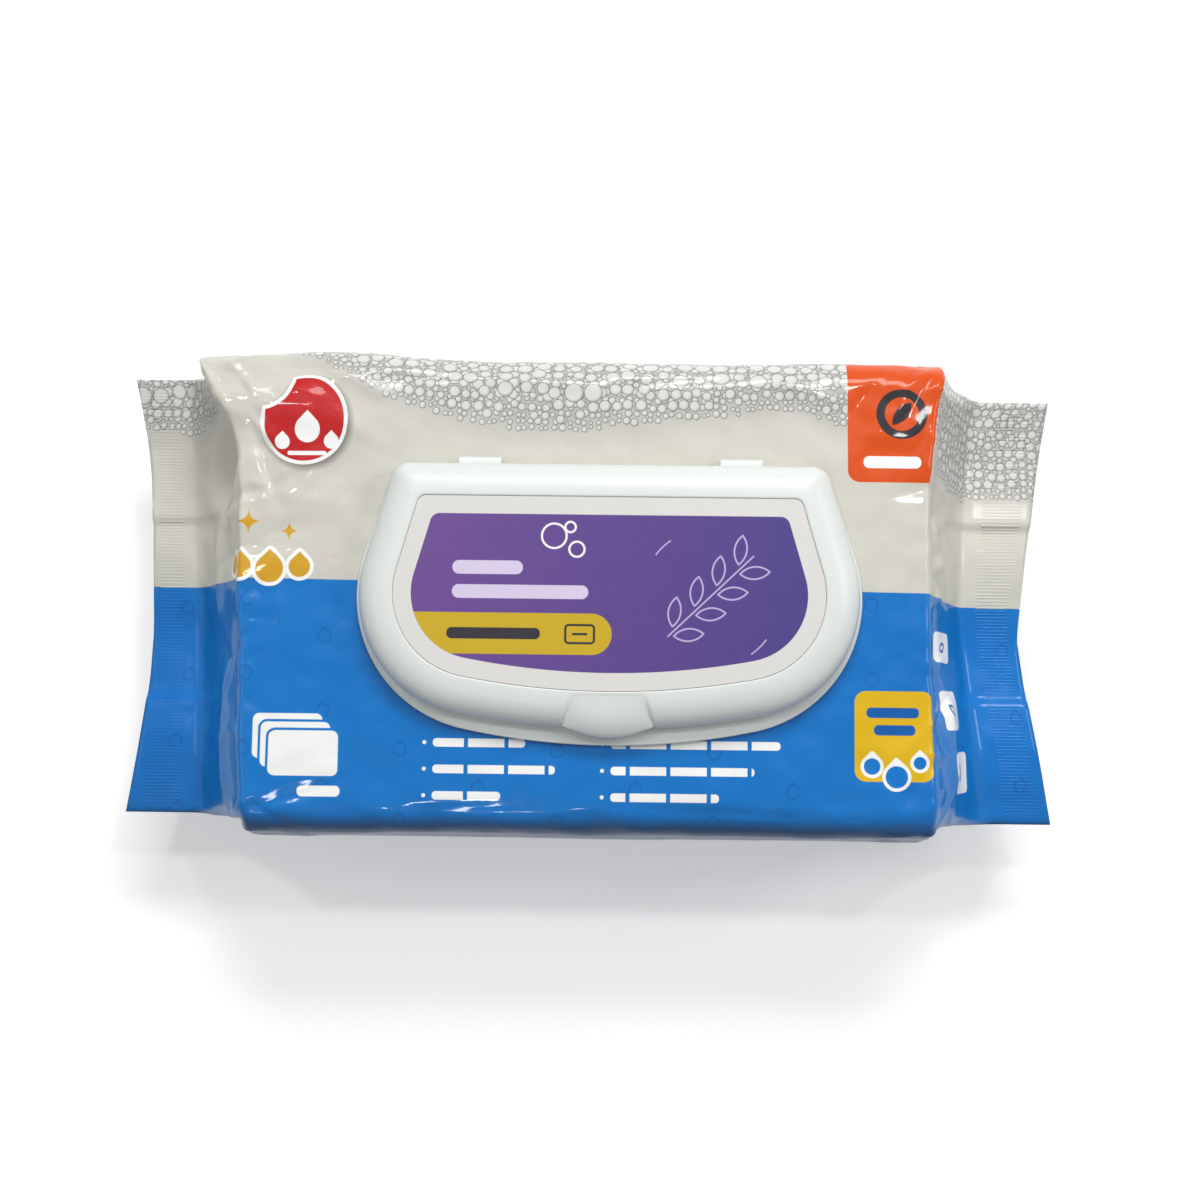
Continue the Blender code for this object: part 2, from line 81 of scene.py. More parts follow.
class PackEnd(NamedTuple):
    """One tucked end, in mm: fold over the stack, root of the seal, cut edge and how far the fin narrows."""

    side: int
    fold: EndLine
    root: EndLine
    edge: EndLine
    back_narrowing: float
    front_narrowing: float


class Crease(NamedTuple):
    """A dent, or a ridge where its depth is below zero, about a place on the unfolded film, in mm."""

    along: float
    across: float
    length: float
    width: float
    turn: float
    depth: float
    sharpness: float


# Film wrapper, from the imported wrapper's box
WRAP_LOW, WRAP_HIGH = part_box("wrapper")
HEIGHT = 50 * MM
SIDE_BULGE = 1.8 * MM
HALF_WIDTH = WRAP_HIGH.y - SIDE_BULGE
FIN_THICKNESS = 0.5 * MM
RIB_PITCH = 0.75 * MM
FILM_WALL = 0.4 * MM
EXTRA_WALL = 0.9 * MM
LEAST_WALL = 0.25 * MM
STRAIGHT_FOLD = 75 * MM
EDGE_RADIUS = 6 * MM
END_SLOPE_POWER = 1.5
FIN_WAVE = 1.2 * MM
FIN_WAVE_LENGTH = 44 * MM
GIRTH = 4 * HALF_WIDTH + 2 * HEIGHT
SEAM_PLACE = GIRTH / 2 - 11 * MM
LAP_WIDTH = 9 * MM
LAP_STEP = 0.25 * MM
BARE_FILM = 118 * MM
BACK_SWELL = 1.5 * MM
HOLLOW_ROWS = 66
PLACES_ROUND = 336

LEFT_END = PackEnd(
    side=-1,
    fold=EndLine(middle=74.8, back=12.7, back_power=4.0, front=-2.2, front_power=1.5),
    root=EndLine(middle=89.5, back=4.2, back_power=1.2, front=-1.8, front_power=1.0),
    edge=EndLine(middle=99.2, back=5.8, back_power=2.0, front=5.4, front_power=2.4),
    back_narrowing=0.2,
    front_narrowing=2.8,
)
RIGHT_END = PackEnd(
    side=1,
    fold=EndLine(middle=73.3, back=4.5, back_power=3.5, front=0.7, front_power=1.5),
    root=EndLine(middle=84.9, back=5.4, back_power=2.0, front=7.0, front_power=1.2),
    edge=EndLine(middle=97.0, back=8.5, back_power=0.9, front=8.0, front_power=1.3),
    back_narrowing=3.4,
    front_narrowing=2.4,
)

# Where the four-layer tucks end on each fin: side, place across, height of the step
FIN_STEPS = ((-1, 18.0, 1.3), (-1, -22.0, -1.0), (1, 18.5, 1.6), (1, -21.0, -1.0))

# Main dents and folds in the film: along, across, length, width, turn in degrees, depth, sharpness
CREASES = [Crease(*row) for row in (
    (-88.0, 31.0, 12, 7.0, 84, 3.8, 1.0),
    (-80.5, 20.0, 9, 1.6, 60, -0.9, 1.4),
    (-84.5, 20.5, 6, 1.2, 105, -0.8, 1.4),
    (-92.0, 6.0, 14, 3.0, 88, -0.8, 1.5),
    (-85.0, -33.0, 20, 4.5, 97, -1.5, 1.6),
    (-81.0, -14.0, 12, 2.0, 66, 0.8, 1.4),
    (-75.2, 12.0, 21, 0.7, 90, -0.75, 1.8),
    (-75.0, 46.5, 19, 4.5, -5, 0.9, 1.0),
    (-68.0, 40.5, 20, 3.6, -20, -0.7, 1.0),
    (-78.0, 42.0, 12, 2.2, 140, 0.7, 1.5),
    (-70.0, 47.0, 15, 1.6, 10, 0.6, 1.5),
    (-66.0, 43.5, 11, 1.3, -16, -0.55, 1.6),
    (-56.0, 25.0, 15, 2.4, 38, 0.5, 1.3),
    (-47.0, 33.0, 17, 1.8, -30, -0.45, 1.5),
    (-62.0, 21.0, 12, 1.6, 66, -0.4, 1.6),
    (-70.5, 33.0, 9, 1.5, 110, 0.5, 1.5),
    (-40.0, 46.0, 15, 1.6, 8, 0.5, 1.5),
    (-12.0, 46.0, 18, 1.4, -6, -0.45, 1.5),
    (20.0, 46.5, 16, 1.5, 5, 0.45, 1.5),
    (48.0, 44.0, 12, 1.4, -14, -0.4, 1.5),
    (66.0, 22.0, 14, 1.6, 12, 0.5, 1.6),
    (63.0, 9.0, 12, 1.8, 25, 0.4, 1.4),
    (70.0, -12.0, 16, 1.4, 88, -0.4, 1.6),
    (60.0, -36.0, 15, 1.8, -35, 0.4, 1.4),
    (-66.0, -12.0, 13, 1.6, 82, -0.45, 1.6),
    (-58.0, -20.0, 13, 1.7, -40, 0.4, 1.4),
    (-62.0, -44.0, 14, 2.0, 20, 0.5, 1.4),
    (-20.0, -46.0, 22, 2.2, 3, 0.5, 1.3),
    (26.0, -47.0, 22, 2.0, -4, 0.45, 1.3),
    (60.0, 44.0, 8, 0.9, 48, 0.35, 1.5),
    (66.5, 40.0, 9, 1.0, 40, -0.35, 1.5),
    (72.0, 45.0, 7, 0.9, 55, 0.35, 1.5),
    (59.0, 32.0, 8, 1.0, 42, -0.3, 1.5),
    (70.0, 31.0, 9, 1.0, 62, 0.3, 1.5),
    (-83.0, 44.0, 13, 2.6, -42, -1.2, 1.3),
    (-79.5, 47.0, 10, 1.3, -38, 0.8, 1.5),
    (-74.0, 44.0, 12, 1.1, -55, -0.8, 1.6),
    (-72.0, 36.0, 10, 1.4, -48, -0.8, 1.4),
    (-70.0, 27.0, 12, 1.2, -70, 0.6, 1.6),
    (-64.0, 47.5, 20, 2.6, 6, 0.9, 1.3),
    (-50.0, 44.5, 9, 1.1, -24, -0.5, 1.6),
    (-52.0, 18.0, 11, 1.3, 58, -0.5, 1.6),
    (-66.0, 13.0, 9, 1.2, 24, 0.45, 1.6),
    (82.0, 19.0, 9, 2.2, 15, 0.9, 1.4),
    (84.0, 10.0, 11, 2.0, 118, -0.8, 1.5),
    (84.0, 33.0, 13, 3.5, 78, 0.9, 1.2),
    (86.0, -34.0, 19, 5.0, 84, -1.5, 1.5),
    (80.0, -12.0, 14, 1.8, 96, 0.8, 1.4),
    (82.0, -24.0, 10, 1.4, 30, 0.6, 1.5),
)]
CREASE_DEPTH = 1.3
FINE_CREASES = 150
CREASE_SEED = 11
SLACK_HEIGHT = 0.40 * MM
RIPPLE_HEIGHT = 0.13 * MM

# Printed foam: its lower edge along and across the film, the span of that edge, where it ends on the back,
# and each layer's cell, start above the edge, shift and furthest place along
FOAM_EDGE = ((-114, 39), (-98, 40), (-92, 46), (-86, 66), (-68, 56), (-57, 49.5), (-45, 42.5), (-26, 37),
             (-10, 35), (8, 36.5), (28, 38.6), (45, 39.8), (56, 36), (74, 33), (92, 27), (114, 27))
FOAM_SPAN = 250
FOAM_BACK = 93.0
FOAM_BUBBLES = ((1.6, 0.0, 40.0, 130.0), (2.5, 2.4, 70.0, 130.0), (3.9, 6.8, 0.0, 76.0))

# Marks on the film: places and sizes in mm along and across it, from the middle of the pack's top
TOP_EDGE = 51.0
DISC_MIDDLE = (-61.8, 36.6)
DISC_BITE = (-71.3, 46.1, 7.5)
DISC_DROPS = ((-61.0, 34.6, 2.7), (-66.4, 32.0, 1.6), (-55.8, 32.2, 1.6))
GOLD_DROPS = ((-80.4, 5.6, 2.0), (-74.9, 4.9, 2.5), (-68.4, 4.4, 3.0), (-61.9, 4.9, 2.3))
SPARKLES = ((-73.2, 14.6, 3.0), (-64.4, 12.6, 2.4))
TAG_RING = (67.5, 39.6)
BADGE_DROPS = ((60.8, -36.4, 2.1), (66.0, -38.6, 2.7), (70.9, -35.6, 1.7))
FRONT_LINES = ((-32.4, (19.6, 26.0, 14.5)), (5.4, (36.0, 30.5, 23.0)))
END_BOXES = ((86.0, -10.2, 3.4), (87.5, -24.3, 4.4), (90.5, -38.2, 4.6))

# Lid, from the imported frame's and cover's boxes
FRAME_LOW, FRAME_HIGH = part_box("lid_frame")
COVER_LOW, COVER_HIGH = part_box("lid_cover")
HINGE = Vector(frame["record"]["behaviour"]["joints"][0]["pos_m"])
LID_X = (FRAME_LOW.x + FRAME_HIGH.x) / 2
FLANGE_BOTTOM = FRAME_LOW.z
FLANGE_TOP = FLANGE_BOTTOM + 1.2 * MM
COVER_BOTTOM = COVER_LOW.z
COVER_TOP = COVER_HIGH.z
CHEEK_RADIUS = 29.0 * MM
CHEEK_X = (FRAME_HIGH.x - FRAME_LOW.x) / 2 - CHEEK_RADIUS
CHEEK_DROP = 0.6 * MM
FRONT_BOW = 2.6 * MM
LID_Y = FRAME_LOW.y + CHEEK_RADIUS + CHEEK_DROP + FRONT_BOW
FLANGE_BACK = FRAME_HIGH.y - LID_Y
CORNER_X = 43.0 * MM
CORNER_RADIUS = 4.5 * MM
COVER_SIDE_INSET = 0.8 * MM
COVER_FRONT_INSET = 3.4 * MM
COVER_FRONT = CHEEK_RADIUS - COVER_FRONT_INSET + CHEEK_DROP + FRONT_BOW
COVER_WALL = 1.2 * MM
SKIRT_HEIGHT = 1.7 * MM
SHOULDER_WIDTH = 7.0 * MM
LABEL_INSET = 7.6 * MM
SMALLEST_CORNER = 2.0 * MM
STRAP_THICKNESS = 0.4 * MM
OPENING = (64.0 * MM, 29.0 * MM)
SLOT = (58.0 * MM, 25.0 * MM)
COLLAR_WALL = 1.2 * MM
TAB_ROOT_HALF = 7.8 * MM
TAB_TIP_HALF = 10.2 * MM
TAB_ROOT_DEPTH = 7.0 * MM
TAB_OVERHANG = 2.0 * MM
TAB_BOW = 3.0 * MM
TAB_TIP_THICKNESS = 2.6 * MM
TAB_CROWN = 1.1 * MM

# Marks on the label, in mm from the middle of the pack
LABEL_MARGIN = 3.8
LABEL_BUBBLES = ((-7.0, 11.0, 2.6), (-2.2, 8.2, 1.6), (-3.6, 12.9, 1.1))
PILL_Y = -9.7

# Wipes
SHEETS = 36
WIPE_THICKNESS = 0.35 * MM

# Studio: each lamp's name, place, width, depth and power in watts
LAMP_TARGET = Vector((0, 0, 0.04))
LAMPS = (
    ("back_softbox", (0.08, 0.58, 0.66), 0.45, 0.20, 4.4),
    ("right_softbox", (0.60, 0.16, 0.56), 0.22, 0.22, 1.3),
    ("left_fill", (-0.55, 0.02, 0.62), 0.3, 0.3, 0.45),
    ("ceiling_lamp_left", (-0.24, 0.30, 0.85), 0.06, 0.06, 0.9),
    ("ceiling_lamp_right", (0.22, 0.30, 0.85), 0.06, 0.06, 0.7),
    ("ceiling_lamp_front", (-0.10, -0.34, 0.80), 0.05, 0.05, 0.45),
)
SKY_LIGHT = 0.17
FLOOR_GLOW = 0.35
CAMERA_PLACE = (0.00518, -0.0423, 0.4331)
CAMERA_TURN = (0.1059, 0.0051, 0.0124)


def ramp(low, high, values):
    share = np.clip((values - low) / (high - low), 0, 1)
    return share * share * (3 - 2 * share)


def mesh_object(name, mesh, material=None):
    thing = bpy.data.objects.new(name, mesh)
    bpy.context.scene.collection.objects.link(thing)
    if material:
        mesh.materials.clear()
        mesh.materials.append(material)
    mesh.shade_smooth()
    return thing


def grid_mesh(name, points, wrap_columns=False):
    """A quad mesh over points[row][column], closed round its columns where asked."""
    rows, columns = points.shape[:2]
    index = np.arange(rows * columns).reshape(rows, columns)
    if wrap_columns:
        index = np.hstack([index, index[:, :1]])
    corners = [index[:-1, :-1], index[:-1, 1:], index[1:, 1:], index[1:, :-1]]
    quads = np.stack(corners, axis=-1).reshape(-1, 4)
    mesh = bpy.data.meshes.new(name)
    mesh.from_pydata(points.reshape(-1, 3).tolist(), [], quads.tolist())
    return mesh


def keep_result(thing):
    """Makes what the modifiers give the object's own mesh, and takes them off."""
    depsgraph = bpy.context.evaluated_depsgraph_get()
    mesh = bpy.data.meshes.new_from_object(thing.evaluated_get(depsgraph))
    thing.modifiers.clear()
    old = thing.data
    thing.data = mesh
    bpy.data.meshes.remove(old)


def smooth_but_sharp_over(thing, degrees):
    thing.data.shade_smooth()
    thing.data.set_sharp_from_angle(angle=math.radians(degrees))


def arc(x, y, radius, start, end, steps):
    """Points round a part of a circle, with both its ends."""
    angles = [start + (end - start) * i / steps for i in range(steps + 1)]
    return [(x + radius * math.cos(angle), y + radius * math.sin(angle)) for angle in angles]


def face_outwards(mesh, merge=1e-6):
    bm = bmesh.new()
    bm.from_mesh(mesh)
    bmesh.ops.remove_doubles(bm, verts=bm.verts, dist=merge)
    bmesh.ops.recalc_face_normals(bm, faces=bm.faces)
    bm.to_mesh(mesh)
    bm.free()


class Print:
    """Writes a printed pattern as shader nodes, in millimetres on the sheet that is printed."""

    def __init__(self, material, source):
        self.tree = material.node_tree
        self.place = source

    def node(self, kind, **settings):
        node = self.tree.nodes.new(kind)
        for key, value in settings.items():
            setattr(node, key, value)
        return node

    def feed(self, socket, value):
        if isinstance(value, bpy.types.NodeSocket):
            self.tree.links.new(value, socket)
        else:
            socket.default_value = value

    def math(self, operation, *values):
        node = self.node("ShaderNodeMath", operation=operation)
        for socket, value in zip(node.inputs, values):
            self.feed(socket, value)
        return node.outputs[0]

    def vector(self, operation, *values, output=0):
        node = self.node("ShaderNodeVectorMath", operation=operation)
        for socket, value in zip(node.inputs, values):
            self.feed(socket, value)
        return node.outputs[output]

    def split(self, place=None):
        node = self.node("ShaderNodeSeparateXYZ")
        self.feed(node.inputs[0], place or self.place)
        return node.outputs[0], node.outputs[1]

    def mask(self, distance, soft=0.12):
        """1 inside a shape and 0 outside, from its distance in mm."""
        node = self.node("ShaderNodeMapRange")
        self.feed(node.inputs["Value"], distance)
        self.feed(node.inputs["From Min"], soft / 2)
        self.feed(node.inputs["From Max"], -soft / 2)
        return node.outputs[0]

    def times(self, value, factor):
        return self.math("MULTIPLY", value, factor)

    def less(self, value, amount):
        return self.math("SUBTRACT", value, amount)

    def scaled(self, value, factor, offset):
        return self.math("MULTIPLY_ADD", value, factor, offset)

    def circle(self, x, y, radius, place=None):
        reach = self.vector("DISTANCE", place or self.place, (x, y, 0.0), output=1)
        return self.less(reach, radius)

    def bar(self, x, y, half_x, half_y, corner, turn=0.0, place=None):
        """A box with round corners about (x, y)."""
        offset = self.vector("SUBTRACT", place or self.place, (x, y, 0.0))
        if turn:
            rotate = self.node("ShaderNodeVectorRotate", rotation_type="Z_AXIS")
            self.feed(rotate.inputs["Vector"], offset)
            self.feed(rotate.inputs["Angle"], -turn)
            offset = rotate.outputs[0]
        offset = self.vector("ABSOLUTE", offset)
        offset = self.vector("SUBTRACT", offset, (half_x - corner, half_y - corner, 0.0))
        offset = self.vector("MAXIMUM", offset, (0.0, 0.0, 0.0))
        flat = self.vector("MULTIPLY", offset, (1.0, 1.0, 0.0))
        return self.less(self.vector("LENGTH", flat, output=1), corner)

    def join(self, *distances):
        result = distances[0]
        for distance in distances[1:]:
            result = self.math("MINIMUM", result, distance)
        return result

    def overlap(self, *distances):
        result = distances[0]
        for distance in distances[1:]:
            result = self.math("MAXIMUM", result, distance)
        return result

    def line(self, distance, half_width):
        return self.less(self.math("ABSOLUTE", distance), half_width)

    def leaf(self, x, y, length, width, turn):
        """Two arcs that meet in a point at both ends."""
        radius = (length**2 + width**2) / (4 * width)
        shift = radius - width / 2
        across = (-math.sin(turn) * shift, math.cos(turn) * shift)
        one = self.circle(x + across[0], y + across[1], radius)
        return self.overlap(one, self.circle(x - across[0], y - across[1], radius))

    def drop(self, x, y, radius, place=None):
        """A round drop with its point up."""
        bead = self.circle(x, y, radius, place)
        tip = y + radius / math.sqrt(2)
        return self.join(bead, self.bar(x, tip, radius / 2, radius / 2, 0.05 * radius, math.pi / 4, place))

    def star(self, x, y, size):
        """A four-pointed sparkle with hollow sides."""
        offset = self.vector("ABSOLUTE", self.vector("SUBTRACT", self.place, (x, y, 0.0)))
        across, up = self.split(offset)
        root = self.math("ADD", self.math("SQRT", across), self.math("SQRT", up))
        return self.less(root, math.sqrt(size))

    def lattice(self, step_x, step_y, shift_x=0.0, shift_y=0.0):
        """The place inside one cell of a repeat, measured from the cell's middle."""
        moved = self.vector("ADD", self.place, (shift_x, shift_y, 0.0))
        cell = (step_x / 2, step_y / 2, 1.0)
        return self.vector("WRAP", moved, cell, (-cell[0], -cell[1], -1.0))

    def paint(self, under, over, mask):
        node = self.node("ShaderNodeMix", data_type="RGBA")
        self.feed(node.inputs[0], mask)
        self.feed(node.inputs[6], under)
        self.feed(node.inputs[7], over)
        return node.outputs[2]

    def lay(self, colour, *inks):
        """Prints shapes over a colour, one over another. Each is an ink and the distance to its shape."""
        for ink, distance in inks:
            colour = self.paint(colour, ink, self.mask(distance))
        return colour

    def noise(self, scale, detail=2.0, place=None):
        """Soft noise with about scale waves a millimetre."""
        node = self.node("ShaderNodeTexNoise")
        self.feed(node.inputs["Vector"], place or self.place)
        self.feed(node.inputs["Scale"], scale)
        self.feed(node.inputs["Detail"], detail)
        return node.outputs[0]


def shade(red, green, blue):
    """A screen colour of 0 to 255 as the shader's linear one."""
    levels = []
    for level in (red, green, blue):
        level = level / 255
        levels.append(level / 12.92 if level <= 0.04045 else ((level + 0.055) / 1.055) ** 2.4)
    return (*levels, 1.0)


WHITE_FILM = shade(206, 204, 193)
FOAM_WHITE = shade(216, 215, 210)
FOAM_GREY = shade(178, 176, 175)
BLUE_FILM = shade(0, 119, 200)
DEEP_BLUE = shade(0, 90, 168)
# Navy for the painted shade down the front side and under the pack
PAINTED_SHADE_NAVY = shade(0, 34, 66)
INK_GREY = shade(122, 121, 120)
INK_RED = shade(190, 26, 28)
INK_ORANGE = shade(215, 78, 10)
INK_YELLOW = shade(200, 168, 36)
BADGE_YELLOW = shade(222, 180, 16)
INK_GOLD = shade(208, 158, 34)
INK_WHITE = shade(246, 246, 244)
INK_DARK = shade(40, 38, 44)
# The lighter purple is painted glare on the left of the label's field
PURPLE_WITH_PAINTED_GLARE = shade(106, 72, 142)
INK_VIOLET = shade(70, 58, 130)
INK_LILAC = shade(190, 178, 218)
INK_PALE_LILAC = shade(214, 202, 228)
LID_WHITE = shade(222, 227, 224)
LID_CLOUD = shade(214, 219, 217)
LABEL_WHITE = shade(220, 218, 214)
FIBRE_WHITE = shade(243, 245, 245)
FIBRE_GREY = shade(216, 221, 223)


def new_material(name, roughness):
    material = bpy.data.materials.new(name)
    material.use_nodes = True
    shader = material.node_tree.nodes["Principled BSDF"]
    shader.inputs["Roughness"].default_value = roughness
    return material, shader


def relief(pattern, shader, height, distance, strength=1.0):
    node = pattern.node("ShaderNodeBump")
    pattern.feed(node.inputs["Strength"], strength)
    pattern.feed(node.inputs["Distance"], distance)
    pattern.feed(node.inputs["Height"], height)
    pattern.feed(shader.inputs["Normal"], node.outputs[0])


def in_millimetres(material, attribute=None, flat=False):
    """The place in mm: on the unfolded film where an attribute holds it, or on the object."""
    tree = material.node_tree
    if attribute:
        source = tree.nodes.new("ShaderNodeAttribute")
        source.attribute_name = attribute
        place = source.outputs["Vector"]
    else:
        source = tree.nodes.new("ShaderNodeTexCoord")
        place = source.outputs["Object"]
    scale = tree.nodes.new("ShaderNodeVectorMath")
    scale.operation = "MULTIPLY"
    scale.inputs[1].default_value = (1000.0, 1000.0, 0.0 if flat else 1000.0)
    tree.links.new(place, scale.inputs[0])
    return scale.outputs[0]


def foam_edge(pattern, along):
    """How far back the foam's lower edge lies, for a place along the pack."""
    curve = pattern.node("ShaderNodeFloatCurve")
    shape = curve.mapping.curves[0]
    while len(shape.points) < len(FOAM_EDGE):
        shape.points.new(0.5, 0.5)
    for point, (x, y) in zip(shape.points, FOAM_EDGE):
        point.location = (x / FOAM_SPAN + 0.5, y / 100)
    curve.mapping.update()
    pattern.feed(curve.inputs["Value"], pattern.scaled(along, 1 / FOAM_SPAN, 0.5))
    return pattern.times(curve.outputs[0], 100.0)


def bubbles(pattern, cell, shift):
    """Distance in mm to the nearest bubble's outline, and its middle. Each just touches its neighbour."""
    moved = pattern.vector("ADD", pattern.place, (shift, shift, 0.0))
    voronoi = []
    for feature in ("F1", "N_SPHERE_RADIUS"):
        node = pattern.node("ShaderNodeTexVoronoi", voronoi_dimensions="2D", feature=feature)
        pattern.feed(node.inputs["Vector"], moved)
        pattern.feed(node.inputs["Scale"], 1.0 / cell)
        pattern.feed(node.inputs["Randomness"], 0.5)
        voronoi.append(node)
    radius = pattern.times(voronoi[1].outputs["Radius"], 0.97)
    outline = pattern.less(voronoi[0].outputs["Distance"], radius)
    middle = pattern.vector("SUBTRACT", voronoi[0].outputs["Position"], (shift, shift, 0.0))
    return pattern.times(outline, cell), middle


def foam(pattern, colour):
    """Outlined foam along the back edge: fine bubbles low in the band, larger ones over them higher up."""
    along, across = pattern.split()
    beyond = pattern.less(foam_edge(pattern, along), across)
    wash = pattern.times(pattern.mask(beyond, 9.0), pattern.math("LESS_THAN", across, FOAM_BACK))
    colour = pattern.paint(colour, FOAM_GREY, pattern.times(wash, 0.75))
    for cell, start, shift, furthest in FOAM_BUBBLES:
        outline, middle = bubbles(pattern, cell, shift)
        middle_along, middle_across = pattern.split(middle)
        above = pattern.less(middle_across, foam_edge(pattern, middle_along))
        shown = pattern.math("GREATER_THAN", above, start)
        shown = pattern.times(shown, pattern.math("LESS_THAN", middle_across, FOAM_BACK))
        shown = pattern.times(shown, pattern.math("LESS_THAN", middle_along, furthest))
        inside = pattern.times(pattern.mask(outline), shown)
        colour = pattern.paint(colour, FOAM_WHITE, inside)
        right, up = pattern.split(pattern.vector("SUBTRACT", pattern.place, middle))
        low_side = pattern.scaled(pattern.less(right, up), 1.0 / cell, 0.35)
        low_side = pattern.math("MAXIMUM", low_side, 0.0)
        inner = pattern.times(pattern.mask(pattern.line(outline, 0.2), 0.9), inside)
        colour = pattern.paint(colour, INK_GREY, pattern.times(inner, low_side))
        ring = pattern.times(pattern.mask(pattern.line(outline, 0.09), 0.1), shown)
        colour = pattern.paint(colour, INK_GREY, pattern.times(ring, 0.85))
    return colour


def blue_half(pattern, colour):
    """Blue below a slanting border and on the lap, darker down the front and across the underside with
    painted shade in navy, with faint outlined drops.
    """
    along, across = pattern.split()
    lapped = pattern.less(SEAM_PLACE / MM, across)
    below = pattern.join(pattern.less(across, pattern.scaled(along, -0.012, 1.5)), lapped)
    tint = pattern.paint(BLUE_FILM, DEEP_BLUE, pattern.times(pattern.noise(0.02, 1.0), 0.35))
    # Painted shade: the front side and the underside as far as the lap seam are mixed three quarters of the
    # way to navy, as if in shade.
    front = pattern.mask(pattern.join(pattern.math("ADD", across, TOP_EDGE), lapped), 4.0)
    tint = pattern.paint(tint, PAINTED_SHADE_NAVY, pattern.times(front, 0.75))
    first = pattern.drop(0.0, 0.0, 1.35, pattern.lattice(33.4, 16.0, 6.0, 2.0))
    second = pattern.drop(0.0, 0.0, 1.35, pattern.lattice(33.4, 16.0, 22.7, 10.0))
    faint = pattern.mask(pattern.line(pattern.join(first, second), 0.22), 0.15)
    tint = pattern.paint(tint, DEEP_BLUE, pattern.times(faint, 0.55))
    return pattern.paint(colour, tint, pattern.mask(below, 0.15))


def red_disc(pattern, colour):
    """A red disc with a bite out of it, a white rim and a soft shadow, and three drops over a line."""
    bite = pattern.circle(*DISC_BITE)
    shadow = pattern.overlap(pattern.circle(-61.1, 35.8, 9.7), pattern.less(-0.6, bite))
    colour = pattern.paint(colour, INK_DARK, pattern.times(pattern.mask(shadow, 1.6), 0.6))
    rim = pattern.overlap(pattern.circle(*DISC_MIDDLE, 9.5), pattern.less(-0.8, bite))
    disc = pattern.overlap(pattern.circle(*DISC_MIDDLE, 8.7), pattern.times(bite, -1.0))
    line = pattern.bar(-61.0, 29.6, 4.2, 0.45, 0.4)
    marks = pattern.join(line, *[pattern.drop(*drop) for drop in DISC_DROPS])
    return pattern.lay(colour, (INK_WHITE, rim), (INK_RED, disc), (INK_WHITE, marks))


def gold_drops(pattern, colour):
    """A row of gold drops in one white outline, with two sparkles over it."""
    drops = pattern.join(*[pattern.drop(*drop) for drop in GOLD_DROPS])
    colour = pattern.lay(colour, (INK_WHITE, pattern.less(drops, 0.8)), (INK_GOLD, drops))
    sparkles = pattern.join(*[pattern.star(*sparkle) for sparkle in SPARKLES])
    return pattern.paint(colour, INK_GOLD, pattern.mask(sparkles, 0.1))


def orange_tag(pattern, colour):
    """An orange field that stops at the right-hand fold, with a leaf in a ring and a white bar."""
    along, across = pattern.split()
    outwards = pattern.math("MAXIMUM", pattern.math("DIVIDE", across, TOP_EDGE), 0.0)
    fold = pattern.scaled(pattern.math("POWER", outwards, 3.5), 4.5, 73.6)
    tag = pattern.overlap(pattern.bar(69.0, 40.0, 13.2, 15.4, 2.6), pattern.less(along, fold))
    ring = pattern.line(pattern.circle(*TAG_RING, 4.6), 0.9)
    ring = pattern.join(ring, pattern.leaf(*TAG_RING, 6.4, 2.8, math.radians(50)))
    bar = pattern.bar(65.4, 29.0, 6.2, 1.3, 1.2)
    return pattern.lay(colour, (INK_ORANGE, tag), (INK_DARK, ring), (INK_WHITE, bar))


def yellow_badge(pattern, colour):
    """A yellow badge with two blue bars and three outlined drops."""
    badge = pattern.bar(65.5, -30.0, 8.4, 9.6, 2.4)
    bars = pattern.join(pattern.bar(65.2, -25.0, 5.6, 1.1, 1.0), pattern.bar(65.6, -28.7, 4.4, 1.1, 1.0))
    drops = pattern.join(*[pattern.drop(*drop) for drop in BADGE_DROPS])
    outline = pattern.line(drops, 0.35)
    colour = pattern.lay(colour, (BADGE_YELLOW, badge), (DEEP_BLUE, bars))
    return pattern.lay(colour, (BLUE_FILM, drops), (INK_WHITE, outline))


def stacked_sheets(pattern, colour):
    """Three white sheets, one over another, and a short bar beside them."""
    for step in range(3):
        sheet = pattern.bar(-63.4 + 1.7 * step, -31.4 - 1.8 * step, 7.4, 4.8, 1.4)
        colour = pattern.lay(colour, (BLUE_FILM, pattern.less(sheet, 0.55)), (INK_WHITE, sheet))
    return pattern.lay(colour, (INK_WHITE, pattern.bar(-56.6, -43.0, 4.6, 1.15, 1.0)))


def front_lines(pattern, colour):
    """Two blocks of plain broken lines before the lid, each line after a dot."""
    gap = pattern.vector("WRAP", pattern.place, (8.6, 1.0, 1.0), (0.0, -1.0, -1.0))
    gap = pattern.less(0.9, pattern.split(gap)[0])
    rows = []
    for x, lengths in FRONT_LINES:
        for row, length in enumerate(lengths):
            y = -32.4 - 5.6 * row
            rows.append(pattern.overlap(pattern.bar(x + length / 2, y, length / 2, 0.9, 0.8), gap))
            rows.append(pattern.circle(x - 1.8, y, 0.42))
    return pattern.lay(colour, (INK_WHITE, pattern.join(*rows)))


def end_boxes(pattern, colour):
    """Three white boxes down the right end, each with an outlined leaf."""
    for x, y, half_height in END_BOXES:
        box = pattern.bar(x, y, 5.2, half_height, 1.2)
        leaf = pattern.line(pattern.leaf(x, y, 3.4, 1.7, math.radians(60 + 4 * y)), 0.3)
        colour = pattern.lay(colour, (INK_WHITE, box), (DEEP_BLUE, leaf))
    return colour


